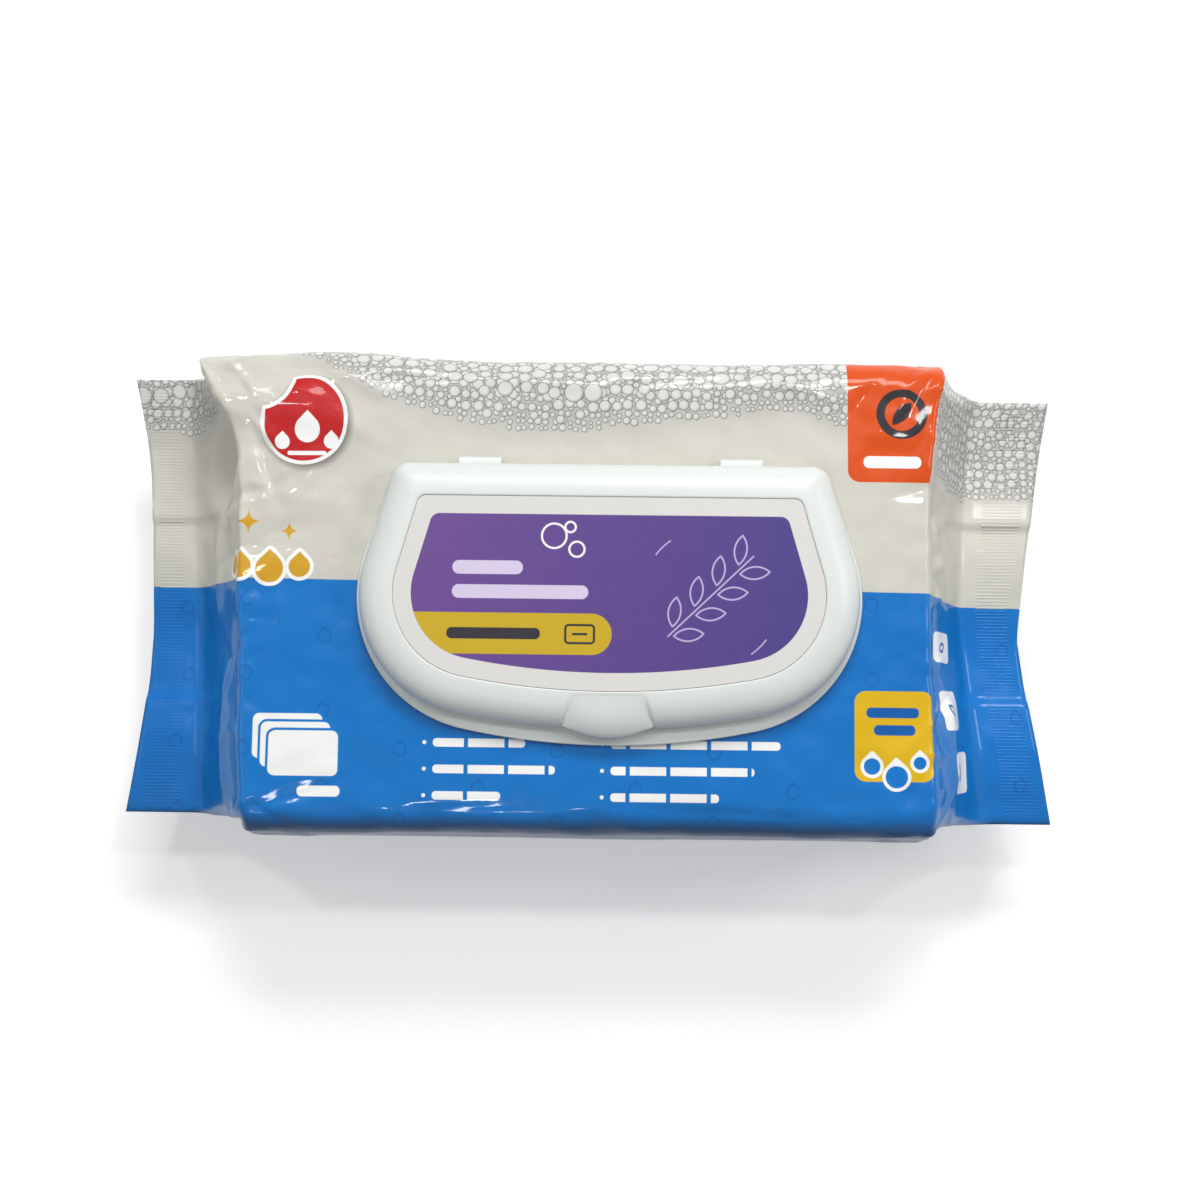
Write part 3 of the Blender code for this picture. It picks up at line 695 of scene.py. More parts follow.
def printed_film():
    """Glossy film, white above and blue below, with foam along the back and plain fields and marks."""
    material, shader = new_material("printed_film", 0.24)
    pattern = Print(material, in_millimetres(material, "film"))
    colour = blue_half(pattern, foam(pattern, WHITE_FILM))
    for mark in (red_disc, gold_drops, orange_tag, yellow_badge, stacked_sheets, front_lines, end_boxes):
        colour = mark(pattern, colour)
    pattern.feed(shader.inputs["Base Color"], colour)

    sharp = pattern.math("ABSOLUTE", pattern.scaled(pattern.noise(0.055, 2.0), 8.0, -4.0))
    sharp = pattern.math("MINIMUM", sharp, 1.0)
    ripple = pattern.scaled(sharp, 0.1, pattern.noise(0.09, 1.0))
    relief(pattern, shader, ripple, 2.2 * MM, 0.5)
    pattern.feed(shader.inputs["Roughness"], pattern.scaled(pattern.noise(0.4, 2.0), 0.14, 0.26))
    shader.inputs["Specular IOR Level"].default_value = 0.12
    shader.inputs["Coat Weight"].default_value = 0.32
    shader.inputs["Coat Roughness"].default_value = 0.07
    return material


def moulded_plastic(name, roughness, grain):
    """White moulded plastic with a fine grain and faint cloudiness."""
    material, shader = new_material(name, roughness)
    pattern = Print(material, in_millimetres(material))
    cloud = pattern.times(pattern.noise(0.05, 3.0), 0.16)
    pattern.feed(shader.inputs["Base Color"], pattern.paint(LID_WHITE, LID_CLOUD, cloud))
    scuff = pattern.scaled(pattern.noise(0.9, 4.0), 0.16, roughness - 0.08)
    pattern.feed(shader.inputs["Roughness"], scuff)
    relief(pattern, shader, pattern.noise(3.0, 4.0), grain, 0.25)
    shader.inputs["Specular IOR Level"].default_value = 0.4
    return material


def leaf_sprig(pattern):
    """Four pairs of outlined leaves on a slanting stem, with two short arcs beside them."""
    outlines = []
    for step in range(4):
        x = 19.0 + 4.6 * step
        y = -8.0 + 4.4 * step
        for leaf_x, leaf_y, turn in ((x + 2.4, y - 1.6, 5), (x - 0.6, y + 3.2, 82)):
            outlines.append(pattern.line(pattern.leaf(leaf_x, leaf_y, 6.2, 2.6, math.radians(turn)), 0.17))
    stem = pattern.bar(26.0, -1.4, 12.5, 0.16, 0.15, math.radians(43.7))
    arcs = pattern.line(pattern.circle(26.0, -1.6, 14.6), 0.14)
    arcs = pattern.overlap(arcs, pattern.leaf(26.0, -1.6, 40, 9, -0.8))
    return pattern.join(stem, arcs, *outlines)


def printed_label():
    """A white label with a purple field that is lighter on the left as painted glare: bars, bubbles, a sprig,
    and a pill with a bar and a sheet.
    """
    material, shader = new_material("printed_label", 0.32)
    pattern = Print(material, in_millimetres(material, flat=True))
    margin = pattern.node("ShaderNodeAttribute", attribute_name="margin").outputs["Fac"]
    field = pattern.less(LABEL_MARGIN, margin)
    # Painted glare: the purple field runs from a lighter purple on the left, where glare falls, to a darker
    # violet on the right.
    sweep = pattern.scaled(pattern.split()[0], 1 / 90, 0.45)
    colour = pattern.lay(LABEL_WHITE, (pattern.paint(PURPLE_WITH_PAINTED_GLARE, INK_VIOLET, sweep), field))

    pill = pattern.bar(-16.0, PILL_Y, 21.3, 4.35, 4.3)
    pill = pattern.join(pill, pattern.bar(-26.0, PILL_Y, 11.3, 4.35, 0.2))
    pill = pattern.overlap(pill, field)
    bar = pattern.bar(-19.5, PILL_Y, 9.8, 1.2, 1.1)
    sheet = pattern.line(pattern.bar(-1.4, PILL_Y, 3.0, 1.9, 0.7), 0.24)
    sheet = pattern.join(sheet, pattern.bar(-1.4, PILL_Y, 1.6, 0.25, 0.2))
    title = pattern.join(pattern.bar(-20.9, 4.2, 7.4, 1.45, 1.4), pattern.bar(-14.0, -0.9, 14.3, 1.45, 1.4))
    rings = pattern.join(*[pattern.line(pattern.circle(*bubble), 0.22) for bubble in LABEL_BUBBLES])
    colour = pattern.lay(colour, (INK_YELLOW, pill), (INK_DARK, pattern.join(bar, sheet)))
    colour = pattern.lay(colour, (INK_PALE_LILAC, title), (INK_WHITE, rings))
    colour = pattern.lay(colour, (INK_LILAC, leaf_sprig(pattern)))
    pattern.feed(shader.inputs["Base Color"], colour)
    relief(pattern, shader, pattern.noise(0.12, 3.0), 0.5 * MM, 0.25)
    pattern.feed(shader.inputs["Roughness"], pattern.scaled(pattern.noise(0.6, 3.0), 0.2, 0.26))
    shader.inputs["Specular IOR Level"].default_value = 0.28
    return material


def damp_nonwoven():
    """White wipe fabric with a fine embossed grid and loose fibres."""
    material, shader = new_material("damp_nonwoven", 0.75)
    pattern = Print(material, in_millimetres(material))
    weave = pattern.node("ShaderNodeTexVoronoi", voronoi_dimensions="3D", feature="SMOOTH_F1")
    pattern.feed(weave.inputs["Vector"], pattern.place)
    pattern.feed(weave.inputs["Scale"], 0.9)
    height = pattern.scaled(pattern.noise(4.0, 5.0), 0.5, weave.outputs["Distance"])
    relief(pattern, shader, height, 0.25 * MM, 0.6)
    colour = pattern.paint(FIBRE_WHITE, FIBRE_GREY, pattern.times(height, 0.5))
    pattern.feed(shader.inputs["Base Color"], colour)
    shader.inputs["Sheen Weight"].default_value = 0.15
    return material


def tube_section(t, height, half_width, tuck, bulge):
    """Across and up for places t round the film tube, from the middle of the top."""
    a = np.abs(t)
    radius = np.minimum(EDGE_RADIUS, 0.45 * height / 2)
    level = np.clip((a - HALF_WIDTH) / HEIGHT, 0, 1)
    y = half_width * np.clip(a / HALF_WIDTH, 0, 1)
    y = np.where(a > HALF_WIDTH + HEIGHT, half_width * (GIRTH / 2 - a) / HALF_WIDTH, y)
    down = np.clip((a - HALF_WIDTH - radius) / (HEIGHT - 2 * radius), 0, 1)
    z = (height / 2 - radius) * (1 - 2 * down)
    z = np.where(a < HALF_WIDTH, height / 2, z)
    z = np.where(a > HALF_WIDTH + HEIGHT, -height / 2, z)
    for corner, above in ((HALF_WIDTH, True), (HALF_WIDTH + HEIGHT, False)):
        near = np.abs(a - corner) < radius
        angle = (np.clip((a - corner) / radius, -1, 1) + 1) * math.pi / 4
        out = np.sin(angle) if above else np.cos(angle)
        up = np.cos(angle) if above else -np.sin(angle)
        y = np.where(near, half_width - radius + radius * out, y)
        z = np.where(near, (height / 2 - radius) * (1 if above else -1) + radius * up, z)
    from_middle = np.abs(2 * level - 1)
    y = y - tuck * (1 - from_middle) + bulge * (1 - from_middle**2)
    return np.where(t >= 0, y, -y), z


def fin_shape(side, y):
    """Height of a fin along its length: a soft wave, with a step where each tuck's extra layers end."""
    z = FIN_WAVE * np.sin(math.tau * y / FIN_WAVE_LENGTH)
    for fin_side, place, step in FIN_STEPS:
        if fin_side == side:
            offset = y / MM - place
            z = z + step * MM * np.tanh(offset / 0.7) * np.exp(-np.abs(offset) / 9.0) / 2
    return z


def film_grid():
    """Points of the film over stations along the pack and places round it, with their unfolded places."""
    body = np.concatenate([np.linspace(0, 0.9, 58), np.linspace(0.9, 1, 14)[1:]])
    share = np.concatenate([np.zeros(len(body)), np.linspace(0, 1, 34)[1:] ** 1.1, np.ones(12)])
    beyond = np.concatenate([np.zeros(len(share) - 12), np.linspace(0, 1, 13)[1:]])
    body = np.concatenate([body, np.ones(len(share) - len(body))])
    t = np.linspace(-GIRTH / 2, GIRTH / 2, PLACES_ROUND + 1)[:-1] + GIRTH / (2 * PLACES_ROUND)
    halves = []
    for end in (LEFT_END, RIGHT_END):
        rows = []
        for place, part, out in zip(body, share, beyond):
            height = FIN_THICKNESS + (HEIGHT - FIN_THICKNESS) * (1 - part) ** END_SLOPE_POWER
            tuck = math.sqrt(max(HEIGHT**2 - height**2, 0)) / 2 * (1 - ramp(0.9, 1.0, part))
            bulge = SIDE_BULGE * (1 - ramp(0.0, 0.25, part))
            y, z = tube_section(t, height, HALF_WIDTH, tuck, bulge)
            narrowing = np.where(y > 0, end.back_narrowing, end.front_narrowing) * MM
            y = y * (1 - part * narrowing / HALF_WIDTH)
            root, edge = end.root.reach(y), end.edge.reach(y)
            fold = STRAIGHT_FOLD + (end.fold.reach(y) - STRAIGHT_FOLD) * (0.5 + z / HEIGHT)
            x = end.side * (fold * place + part * (root - fold) + out * (edge - root))
            z = HEIGHT / 2 + z + fin_shape(end.side, y) * ramp(0.25, 1.0, part)
            rows.append(np.stack([x, y, z], axis=-1))
        halves.append(np.array(rows))
    points = np.concatenate([halves[0][:0:-1], halves[1]])
    steps = np.linalg.norm(np.diff(points, axis=0), axis=-1)
    length = np.concatenate([np.zeros((1, len(t))), np.cumsum(steps, axis=0)])
    along = length - length[len(body) - 1]
    film = np.stack([along, np.broadcast_to(t, along.shape), np.zeros_like(along)], axis=-1)
    return points, film


def softened(points, passes):
    """Rounds the sharp folds a little, along the pack only."""
    for _ in range(passes):
        inner = points[1:-1] * 0.5 + (points[:-2] + points[2:]) * 0.25
        points = np.concatenate([points[:1], inner, points[-1:]])
    return points


def crease_depth(film, crease):
    dx = film[..., 0] / MM - crease.along
    dy = film[..., 1] / MM - crease.across
    turn = math.radians(crease.turn)
    lengthways = (dx * math.cos(turn) + dy * math.sin(turn)) / crease.length
    sideways = (dy * math.cos(turn) - dx * math.sin(turn)) / crease.width
    profile = np.exp(-(np.abs(sideways) ** (2 / crease.sharpness)))
    return CREASE_DEPTH * crease.depth * MM * np.clip(1 - lengthways**2, 0, 1) * profile


def wrinkle_depth(points, film):
    """Dents and folds, short fine ones near the ends, and a slack swell that dies out under the lid."""
    depth = sum(crease_depth(film, crease) for crease in CREASES)
    random.seed(CREASE_SEED)
    for _ in range(FINE_CREASES):
        along = random.choice((-1, 1)) * random.triangular(54, 94, 76)
        across = random.uniform(-90, 90)
        height = random.uniform(0.12, 0.42) * random.choice((-1, 1))
        length = random.uniform(4, 11)
        width = random.uniform(0.7, 1.5)
        turn = random.gauss(0, 32)
        depth = depth + crease_depth(film, Crease(along, across, length, width, turn, height, 1.5))
    s = film[..., 0] / MM
    t = film[..., 1] / MM
    slack = np.sin(s / 13 + 1.3 * np.sin(t / 17)) * np.sin(t / 9 + np.sin(s / 23))
    ripple = np.sin(s / 4.1 + 2.0 * np.sin(t / 7.3)) * np.sin(t / 3.4 + 1.6 * np.sin(s / 6.7))
    depth = depth + SLACK_HEIGHT * slack + RIPPLE_HEIGHT * ripple
    return depth * slackness(points)


def slackness(points):
    """0 where the lid's flange holds the film flat, rising to 1 away from it."""
    lid_x = (points[..., 0] - LID_X) / (58 * MM)
    lid_y = (points[..., 1] - LID_Y + 2 * MM) / (34 * MM)
    from_lid = (np.abs(lid_x) ** 4 + np.abs(lid_y) ** 4) ** 0.25
    return np.where(points[..., 2] > HEIGHT - 3 * MM, ramp(0.95, 1.35, from_lid), 1.0)


def surface_normals(points):
    """Outward normals of the tube grid."""
    down = np.gradient(points, axis=0)
    closed = np.concatenate([points[:, -1:], points, points[:, :1]], axis=1)
    across = np.gradient(closed, axis=1)[:, 1:-1]
    normal = np.cross(down, across)
    normal /= np.maximum(np.linalg.norm(normal, axis=-1, keepdims=True), 1e-9)
    middle = len(points) // 2
    outward = np.sign((normal[middle] * (points[middle] - [0, 0, HEIGHT / 2])).sum())
    return normal * outward


def capped_tube(name, points):
    mesh = grid_mesh(name, points, wrap_columns=True)
    bm = bmesh.new()
    bm.from_mesh(mesh)
    bmesh.ops.holes_fill(bm, edges=[edge for edge in bm.edges if edge.is_boundary])
    bmesh.ops.recalc_face_normals(bm, faces=bm.faces)
    bm.to_mesh(mesh)
    bm.free()
    return mesh


def make_wrapper(material):
    """The film tube with its hollow, die-cut slot and lap seam, and the film's own places for the print."""
    points, film = film_grid()
    points = softened(points, 2)
    wall = FILM_WALL + EXTRA_WALL * slackness(points) * ramp(4 * MM, 10 * MM, points[..., 2])
    inside = points - surface_normals(points) * wall[..., None]
    depth = wrinkle_depth(points, film)
    gap = np.abs(points[..., 2] - HEIGHT / 2) * 2
    depth *= ramp(2 * MM, 12 * MM, gap) * ramp(0.2 * MM, 4 * MM, points[..., 2])
    middle = len(points) // 2
    hollow = slice(middle - HOLLOW_ROWS - 3, middle + HOLLOW_ROWS + 4)
    depth[hollow] = np.minimum(depth[hollow], wall[hollow] - LEAST_WALL)
    points = points - surface_normals(points) * depth[..., None]
    back = ramp(30 * MM, 51 * MM, points[..., 1]) * ramp(10 * MM, 45 * MM, points[..., 2])
    points[..., 1] += BACK_SWELL * back * np.exp(-(((points[..., 0] + 56 * MM) / (20 * MM)) ** 2))
    points[..., 2] = np.clip(points[..., 2], 0.0, WRAP_HIGH.z)
    points[..., 1] = np.clip(points[..., 1], WRAP_LOW.y, WRAP_HIGH.y + BACK_SWELL)
    under = (points[..., 2] < 0.5 * MM) & (film[..., 1] > 0)
    lap = ramp(-0.5 * MM, 0.5 * MM, film[..., 1] - SEAM_PLACE) * under
    points[..., 2] += LAP_STEP * lap * ramp(LAP_WIDTH, LAP_WIDTH - 6 * MM, film[..., 1] - SEAM_PLACE)

    wrapper = mesh_object("film_wrapper", capped_tube("film_wrapper", points), material)
    rows = slice(middle - HOLLOW_ROWS, middle + HOLLOW_ROWS + 1, 3)
    carve(wrapper, capped_tube("hollow", inside[rows, ::3]), "DIFFERENCE")
    slot = [oval_ring(SLOT[0], SLOT[1], z) for z in (HEIGHT - 3 * MM, HEIGHT + 2 * MM)]
    carve(wrapper, closed_loft("slot", slot), "DIFFERENCE")
    store_film(wrapper.data, points, film)
    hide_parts("wrapper")
    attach(wrapper, "pack")
    return points, film


def store_film(mesh, points, film):
    """Gives each face corner its place on the unfolded film, cut along the lap seam; the inside is bare."""
    flat_points = points.reshape(-1, 3)
    flat_film = film.reshape(-1, 3)
    tree = KDTree(len(flat_points))
    for index, point in enumerate(flat_points):
        tree.insert(point, index)
    tree.balance()
    places = np.zeros((len(mesh.vertices), 3))
    for vert in mesh.vertices:
        _, index, distance = tree.find(vert.co)
        places[vert.index] = flat_film[index]
        if distance > FILM_WALL * 0.8:
            places[vert.index, 1] = BARE_FILM
    corners = np.zeros(len(mesh.loops), np.int32)
    mesh.loops.foreach_get("vertex_index", corners)
    values = places[corners]
    for face in mesh.polygons:
        loops = slice(face.loop_start, face.loop_start + face.loop_total)
        across = values[loops, 1]
        if across.max() - across.min() > GIRTH / 2:
            values[loops, 1] = np.where(across > 0, across - GIRTH, across)
    layer = mesh.attributes.new("film", "FLOAT_VECTOR", "CORNER")
    layer.data.foreach_set("vector", values.reshape(-1).astype(np.float32))


def oval_ring(length, width, z, steps=40):
    """An oval with round ends about the lid's middle."""
    radius = width / 2
    reach = length / 2 - radius
    right = arc(LID_X + reach, LID_Y, radius, -math.pi / 2, math.pi / 2, steps)
    left = arc(LID_X - reach, LID_Y, radius, math.pi / 2, 3 * math.pi / 2, steps)
    return [(x, y, z) for x, y in right + left]


def closed_loft(name, rings, cap=True):
    """A solid through rings with the same number of points, its two ends closed by flat faces."""
    count = len(rings[0])
    bm = bmesh.new()
    layers = [[bm.verts.new(p) for p in ring] for ring in rings]
    for lower, upper in zip(layers, layers[1:]):
        for i in range(count):
            j = (i + 1) % count
            bm.faces.new((lower[i], lower[j], upper[j], upper[i]))
    if cap:
        bm.faces.new(layers[0])
        bm.faces.new(layers[-1])
    bmesh.ops.recalc_face_normals(bm, faces=bm.faces)
    mesh = bpy.data.meshes.new(name)
    bm.to_mesh(mesh)
    bm.free()
    return mesh


def carve(target, tool_mesh, operation):
    """Applies one exact cut or join and removes the tool."""
    tool = bpy.data.objects.new("tool", tool_mesh)
    bpy.context.scene.collection.objects.link(tool)
    modifier = target.modifiers.new("cut", "BOOLEAN")
    modifier.operation = operation
    modifier.solver = "EXACT"
    modifier.object = tool
    keep_result(target)
    bpy.data.objects.remove(tool)


def lid_plan(inset, cover, arc_steps=96, cheek_steps=44, corner_steps=10):
    """Plan of the flange or the cover: long front arc, round cheeks, slanting sides and rear corners."""
    drop = COVER_FRONT_INSET if cover else 0.0
    side = COVER_SIDE_INSET if cover else 0.0
    cheek_radius = CHEEK_RADIUS - drop
    cheek_x = CHEEK_X + drop - side
    back = FLANGE_BACK - side / 2
    corner_radius = CORNER_RADIUS - side / 2
    front = -(cheek_radius + CHEEK_DROP + FRONT_BOW)
    rise = front + CHEEK_DROP
    front_radius = (cheek_radius**2 - cheek_x**2 - rise**2) / (2 * (rise + cheek_radius))
    centre_y = front + front_radius
    front_end = math.atan2(-CHEEK_DROP - centre_y, cheek_x)
    over = Vector((CORNER_X - cheek_x, back - corner_radius + CHEEK_DROP))
    side_angle = math.atan2(over.y, over.x) - math.acos((cheek_radius - corner_radius) / over.length)
    normal = Vector((math.cos(side_angle), math.sin(side_angle)))
    reach = normal.dot(Vector((cheek_x, -CHEEK_DROP))) + cheek_radius - inset
    small = max(corner_radius - inset, SMALLEST_CORNER)
    corner_y = back - inset - small
    corner_x = (reach - small - normal.y * corner_y) / normal.x
    half = arc(0.0, centre_y, front_radius - inset, -math.pi / 2, front_end, arc_steps)
    half += arc(cheek_x, -CHEEK_DROP, cheek_radius - inset, front_end, side_angle, cheek_steps)[1:]
    half += arc(corner_x, corner_y, small, side_angle, math.pi / 2, corner_steps)
    return np.array(half + [(-x, y) for x, y in reversed(half[1:])])


def plan_ring(inset, z, cover=True):
    plan = lid_plan(inset, cover)
    return np.stack([LID_X + plan[:, 0], LID_Y + plan[:, 1], np.full(len(plan), z)], axis=-1)


def with_tab(ring, step, steps, inner=False):
    """Draws the front of one cover ring out to the thumb tab, from its tip (step 0) to its root."""
    x = ring[:, 0] - LID_X
    y = ring[:, 1] - LID_Y
    root_y = -COVER_FRONT + TAB_ROOT_DEPTH
    across = x / TAB_TIP_HALF
    tip_y = -COVER_FRONT - TAB_OVERHANG + TAB_BOW * np.clip(np.abs(across), 0, 1) ** 2
    drop = COVER_WALL if inner else 0.0
    tip_z = COVER_BOTTOM + TAB_TIP_THICKNESS - drop
    slope = (COVER_TOP - 0.2 * MM - drop - tip_z) / (root_y + COVER_FRONT + TAB_OVERHANG)
    if inner:
        tab_y = y
        tab_z = np.minimum(ring[:, 2], tip_z + slope * (y + COVER_FRONT + TAB_OVERHANG))
    else:
        share = np.clip(step / steps, 0, 1)
        tab_y = tip_y + (root_y - tip_y) * share
        lift = TAB_TIP_THICKNESS * np.clip((step + 2) / 2, 0, 1)
        rise = tip_z + slope * (tab_y + COVER_FRONT + TAB_OVERHANG)
        rise = rise + TAB_CROWN * np.clip(1 - across**2, 0, 1) * math.sin(math.pi * share**0.7)
        tab_z = np.where(step < 0, COVER_BOTTOM + 0.3 * MM + lift * 0.8, rise)
    widening = np.clip((root_y - tab_y) / TAB_ROOT_DEPTH, 0, 1)
    half = TAB_ROOT_HALF + (TAB_TIP_HALF - TAB_ROOT_HALF) * widening
    weight = ramp(0.7 * MM, -0.9 * MM, np.abs(x) - half) * (y < -COVER_FRONT * 0.6)
    result = ring.copy()
    result[:, 1] += (LID_Y + tab_y - ring[:, 1]) * weight
    result[:, 2] += (tab_z - ring[:, 2]) * weight
    return result


def shoulder_rings(inset, rise, steps):
    """Insets and heights of a quarter turn from the top of the skirt to the flat panel."""
    turns = [math.pi / 2 * i / steps for i in range(steps + 1)]
    bottom = COVER_BOTTOM + SKIRT_HEIGHT
    return [(inset + SHOULDER_WIDTH * (1 - math.cos(turn)), bottom + rise * math.sin(turn)) for turn in turns]


def make_lid_cover(material):
    """The flip cover: skirt, round shoulder with the thumb tab, flat panel and shallow label field."""
    rise = COVER_TOP - COVER_BOTTOM - SKIRT_HEIGHT
    steps = 16
    rings = []
    for inset, z in reversed(shoulder_rings(COVER_WALL, rise - COVER_WALL, steps)):
        rings.append(with_tab(plan_ring(inset, z), 0, steps, inner=True))
    rings.append(plan_ring(COVER_WALL, COVER_BOTTOM + 0.3 * MM))
    rings.append(plan_ring(COVER_WALL - 0.2 * MM, COVER_BOTTOM))
    rings.append(with_tab(plan_ring(0.25 * MM, COVER_BOTTOM), -2, steps))
    rings.append(with_tab(plan_ring(0.0, COVER_BOTTOM + 0.25 * MM), -1.4, steps))
    rings.append(with_tab(plan_ring(0.0, COVER_BOTTOM + SKIRT_HEIGHT * 0.6), -0.5, steps))
    for step, (inset, z) in enumerate(shoulder_rings(0.0, rise, steps)):
        rings.append(with_tab(plan_ring(inset, z), step, steps))
    for inset, drop in ((-0.25, 0.0), (-0.08, 0.04), (0.0, 0.15), (0.06, 0.45), (0.2, 0.65)):
        rings.append(plan_ring(LABEL_INSET + inset * MM, COVER_TOP - drop * MM))
    cover = mesh_object("flip_cover", closed_loft("flip_cover", rings), material)

    clear = COLLAR_WALL + 0.4 * MM
    bottom = FLANGE_TOP + 1.0 * MM
    top = COVER_TOP - COVER_WALL + 0.3 * MM
    profile = ((0.0, top), (0.0, bottom + 0.3 * MM), (0.25 * MM, bottom), (0.75 * MM, bottom),
               (1.0 * MM, bottom + 0.3 * MM), (1.0 * MM, top))
    rim = [oval_ring(OPENING[0] + 2 * (clear + out), OPENING[1] + 2 * (clear + out), z) for out, z in profile]
    rim_mesh = closed_loft("sealing_rim", rim + rim[:1], cap=False)
    face_outwards(rim_mesh)
    carve(cover, rim_mesh, "UNION")
    smooth_but_sharp_over(cover, 50)
    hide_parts("lid_cover")
    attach(cover, "lid")


def make_lid_frame(material):
    """The glued base: a flange with eased edges, the raised collar round the opening and the catch."""
    soft = 0.35 * MM
    rings = [plan_ring(soft, FLANGE_BOTTOM, False), plan_ring(0.0, FLANGE_BOTTOM + soft, False)]
    for i in range(5):
        turn = math.pi / 2 * i / 4
        rings.append(plan_ring(soft * (1 - math.cos(turn)), FLANGE_TOP - soft * (1 - math.sin(turn)), False))
    base = mesh_object("lid_base", closed_loft("lid_base", rings), material)

    top = FRAME_HIGH.z
    profile = ((1.2, FLANGE_TOP - 0.6 * MM), (1.2, FLANGE_TOP), (0.45, FLANGE_TOP + 0.25 * MM),
               (0.0, FLANGE_TOP + 1.0 * MM), (0.0, top - 0.4 * MM), (-0.12, top - 0.12 * MM), (-0.4, top))
    collar = []
    for out, z in profile:
        wider = 2 * (COLLAR_WALL + out * MM)
        collar.append(oval_ring(OPENING[0] + wider, OPENING[1] + wider, z))
    carve(base, closed_loft("collar", collar), "UNION")

    front = LID_Y - COVER_FRONT + 2.2 * MM
    catch = []
    for half, deep, rise in ((6.0, 1.0, -0.5), (6.0, 1.0, 1.7), (5.7, 0.7, 2.0)):
        corners = ((-half, 0.0), (half, 0.0), (half, deep), (-half, deep))
        catch.append([(LID_X + x * MM, front + y * MM, FLANGE_TOP + rise * MM) for x, y in corners])
    carve(base, closed_loft("catch", catch), "UNION")
    hole = [oval_ring(*OPENING, z) for z in (FLANGE_BOTTOM - MM, top + MM)]
    carve(base, closed_loft("hole", hole), "DIFFERENCE")
    smooth_but_sharp_over(base, 38)
    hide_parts("lid_frame")
    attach(base, "pack")


def make_lid_label(material):
    """The label, with the distance in from its cut edge kept on its points for the print."""
    low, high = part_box("lid_label")
    profile = [(0.0, low.z), (0.0, high.z - 0.05 * MM), (0.05, high.z)]
    profile += [(inset, high.z) for inset in (1.0, 2.0, 3.0, 3.4, 3.8, 4.2, 6.0, 9.0, 12.0)]
    rings = [plan_ring(LABEL_INSET + (0.12 + inset) * MM, z) for inset, z in profile]
    label = mesh_object("cover_label", closed_loft("cover_label", rings), material)
    layer = label.data.attributes.new("margin", "FLOAT", "POINT")
    layer.data.foreach_set("value", np.repeat([inset for inset, _ in profile], len(rings[0])))
    smooth_but_sharp_over(label, 30)
    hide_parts("lid_label")
    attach(label, "lid")


def make_hinge_webs(material):
    """Two thin straps moulded between the base and the cover, bent round the hinge line."""
    half_turn = math.pi / 2
    for name in ("hinge_web_left", "hinge_web_right"):
        low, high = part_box(name)
        radius = (high.z - low.z) / 2
        root = low.y - 0.25 * MM
        outline = arc(HINGE.y, HINGE.z, radius, -half_turn, half_turn, 18)
        outline += [(root, high.z), (root, high.z - STRAP_THICKNESS)]
        outline += arc(HINGE.y, HINGE.z, radius - STRAP_THICKNESS, half_turn, -half_turn, 18)
        outline += [(root, low.z + STRAP_THICKNESS), (root, low.z)]
        rings = [[(x, y, z) for y, z in outline] for x in np.linspace(low.x, high.x, 13)]
        strap = mesh_object(name + "_strap", closed_loft(name, rings), material)
        smooth_but_sharp_over(strap, 40)
        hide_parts(name)
        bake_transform(strap)


def make_top_wipe(material):
    """The leading wipe: soft folds, with a pinch drawn up under the opening."""
    low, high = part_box("top_wipe")
    y, x = np.meshgrid(np.linspace(low.y, high.y, 130), np.linspace(low.x, high.x, 190), indexing="ij")
    u = (x - LID_X) / (22 * MM)
    v = (y - LID_Y) / (6 * MM)
    pinch = 1.7 * MM * np.clip(1 - u**2, 0, 1) * np.exp(-(v**2))
    drape = 0.12 * MM * np.sin(x / (9 * MM) + np.sin(y / (7 * MM)))
    drape = drape + 0.1 * MM * np.sin(y / (5 * MM) + 2 * np.sin(x / (15 * MM)))
    fold = 0.25 * MM * np.exp(-((v + 1.3 + 0.3 * np.sin(u * 2)) ** 2) * 6) * (np.abs(u) < 1.2)
    z = low.z + WIPE_THICKNESS + pinch + drape + fold
    mesh = grid_mesh("leading_wipe", np.stack([x, y, np.minimum(z, high.z - 0.3 * MM)], axis=-1))
    face_outwards(mesh)
    wipe = mesh_object("leading_wipe", mesh, material)
    wall = wipe.modifiers.new("thickness", "SOLIDIFY")
    wall.thickness = WIPE_THICKNESS
    wall.offset = 0.0
    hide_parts("top_wipe")
    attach(wipe, "pack")


def tree_input(tree, name, kind, value):
    socket = tree.interface.new_socket(name, in_out="INPUT", socket_type=kind)
    socket.default_value = value
    return socket


def new_tree(name):
    tree = bpy.data.node_groups.new(name, "GeometryNodeTree")
    tree.interface.new_socket("Geometry", in_out="INPUT", socket_type="NodeSocketGeometry")
    tree.interface.new_socket("Geometry", in_out="OUTPUT", socket_type="NodeSocketGeometry")
    return tree


def bake_nodes(thing, tree, values):
    """Runs a node tree on an object and keeps what it gives as the object's mesh."""
    modifier = thing.modifiers.new(tree.name, "NODES")
    modifier.node_group = tree
    for item in tree.interface.items_tree:
        if item.item_type == "SOCKET" and item.name in values:
            modifier[item.identifier] = values[item.name]
    thing.update_tag()
    keep_result(thing)


def add_nodes(tree, *kinds):
    return [tree.nodes.new(kind) for kind in kinds]


def chain(tree, *nodes):
    """Links each node's first output to the first input of the next."""
    for before, after in zip(nodes, nodes[1:]):
        tree.links.new(before.outputs[0], after.inputs[0])


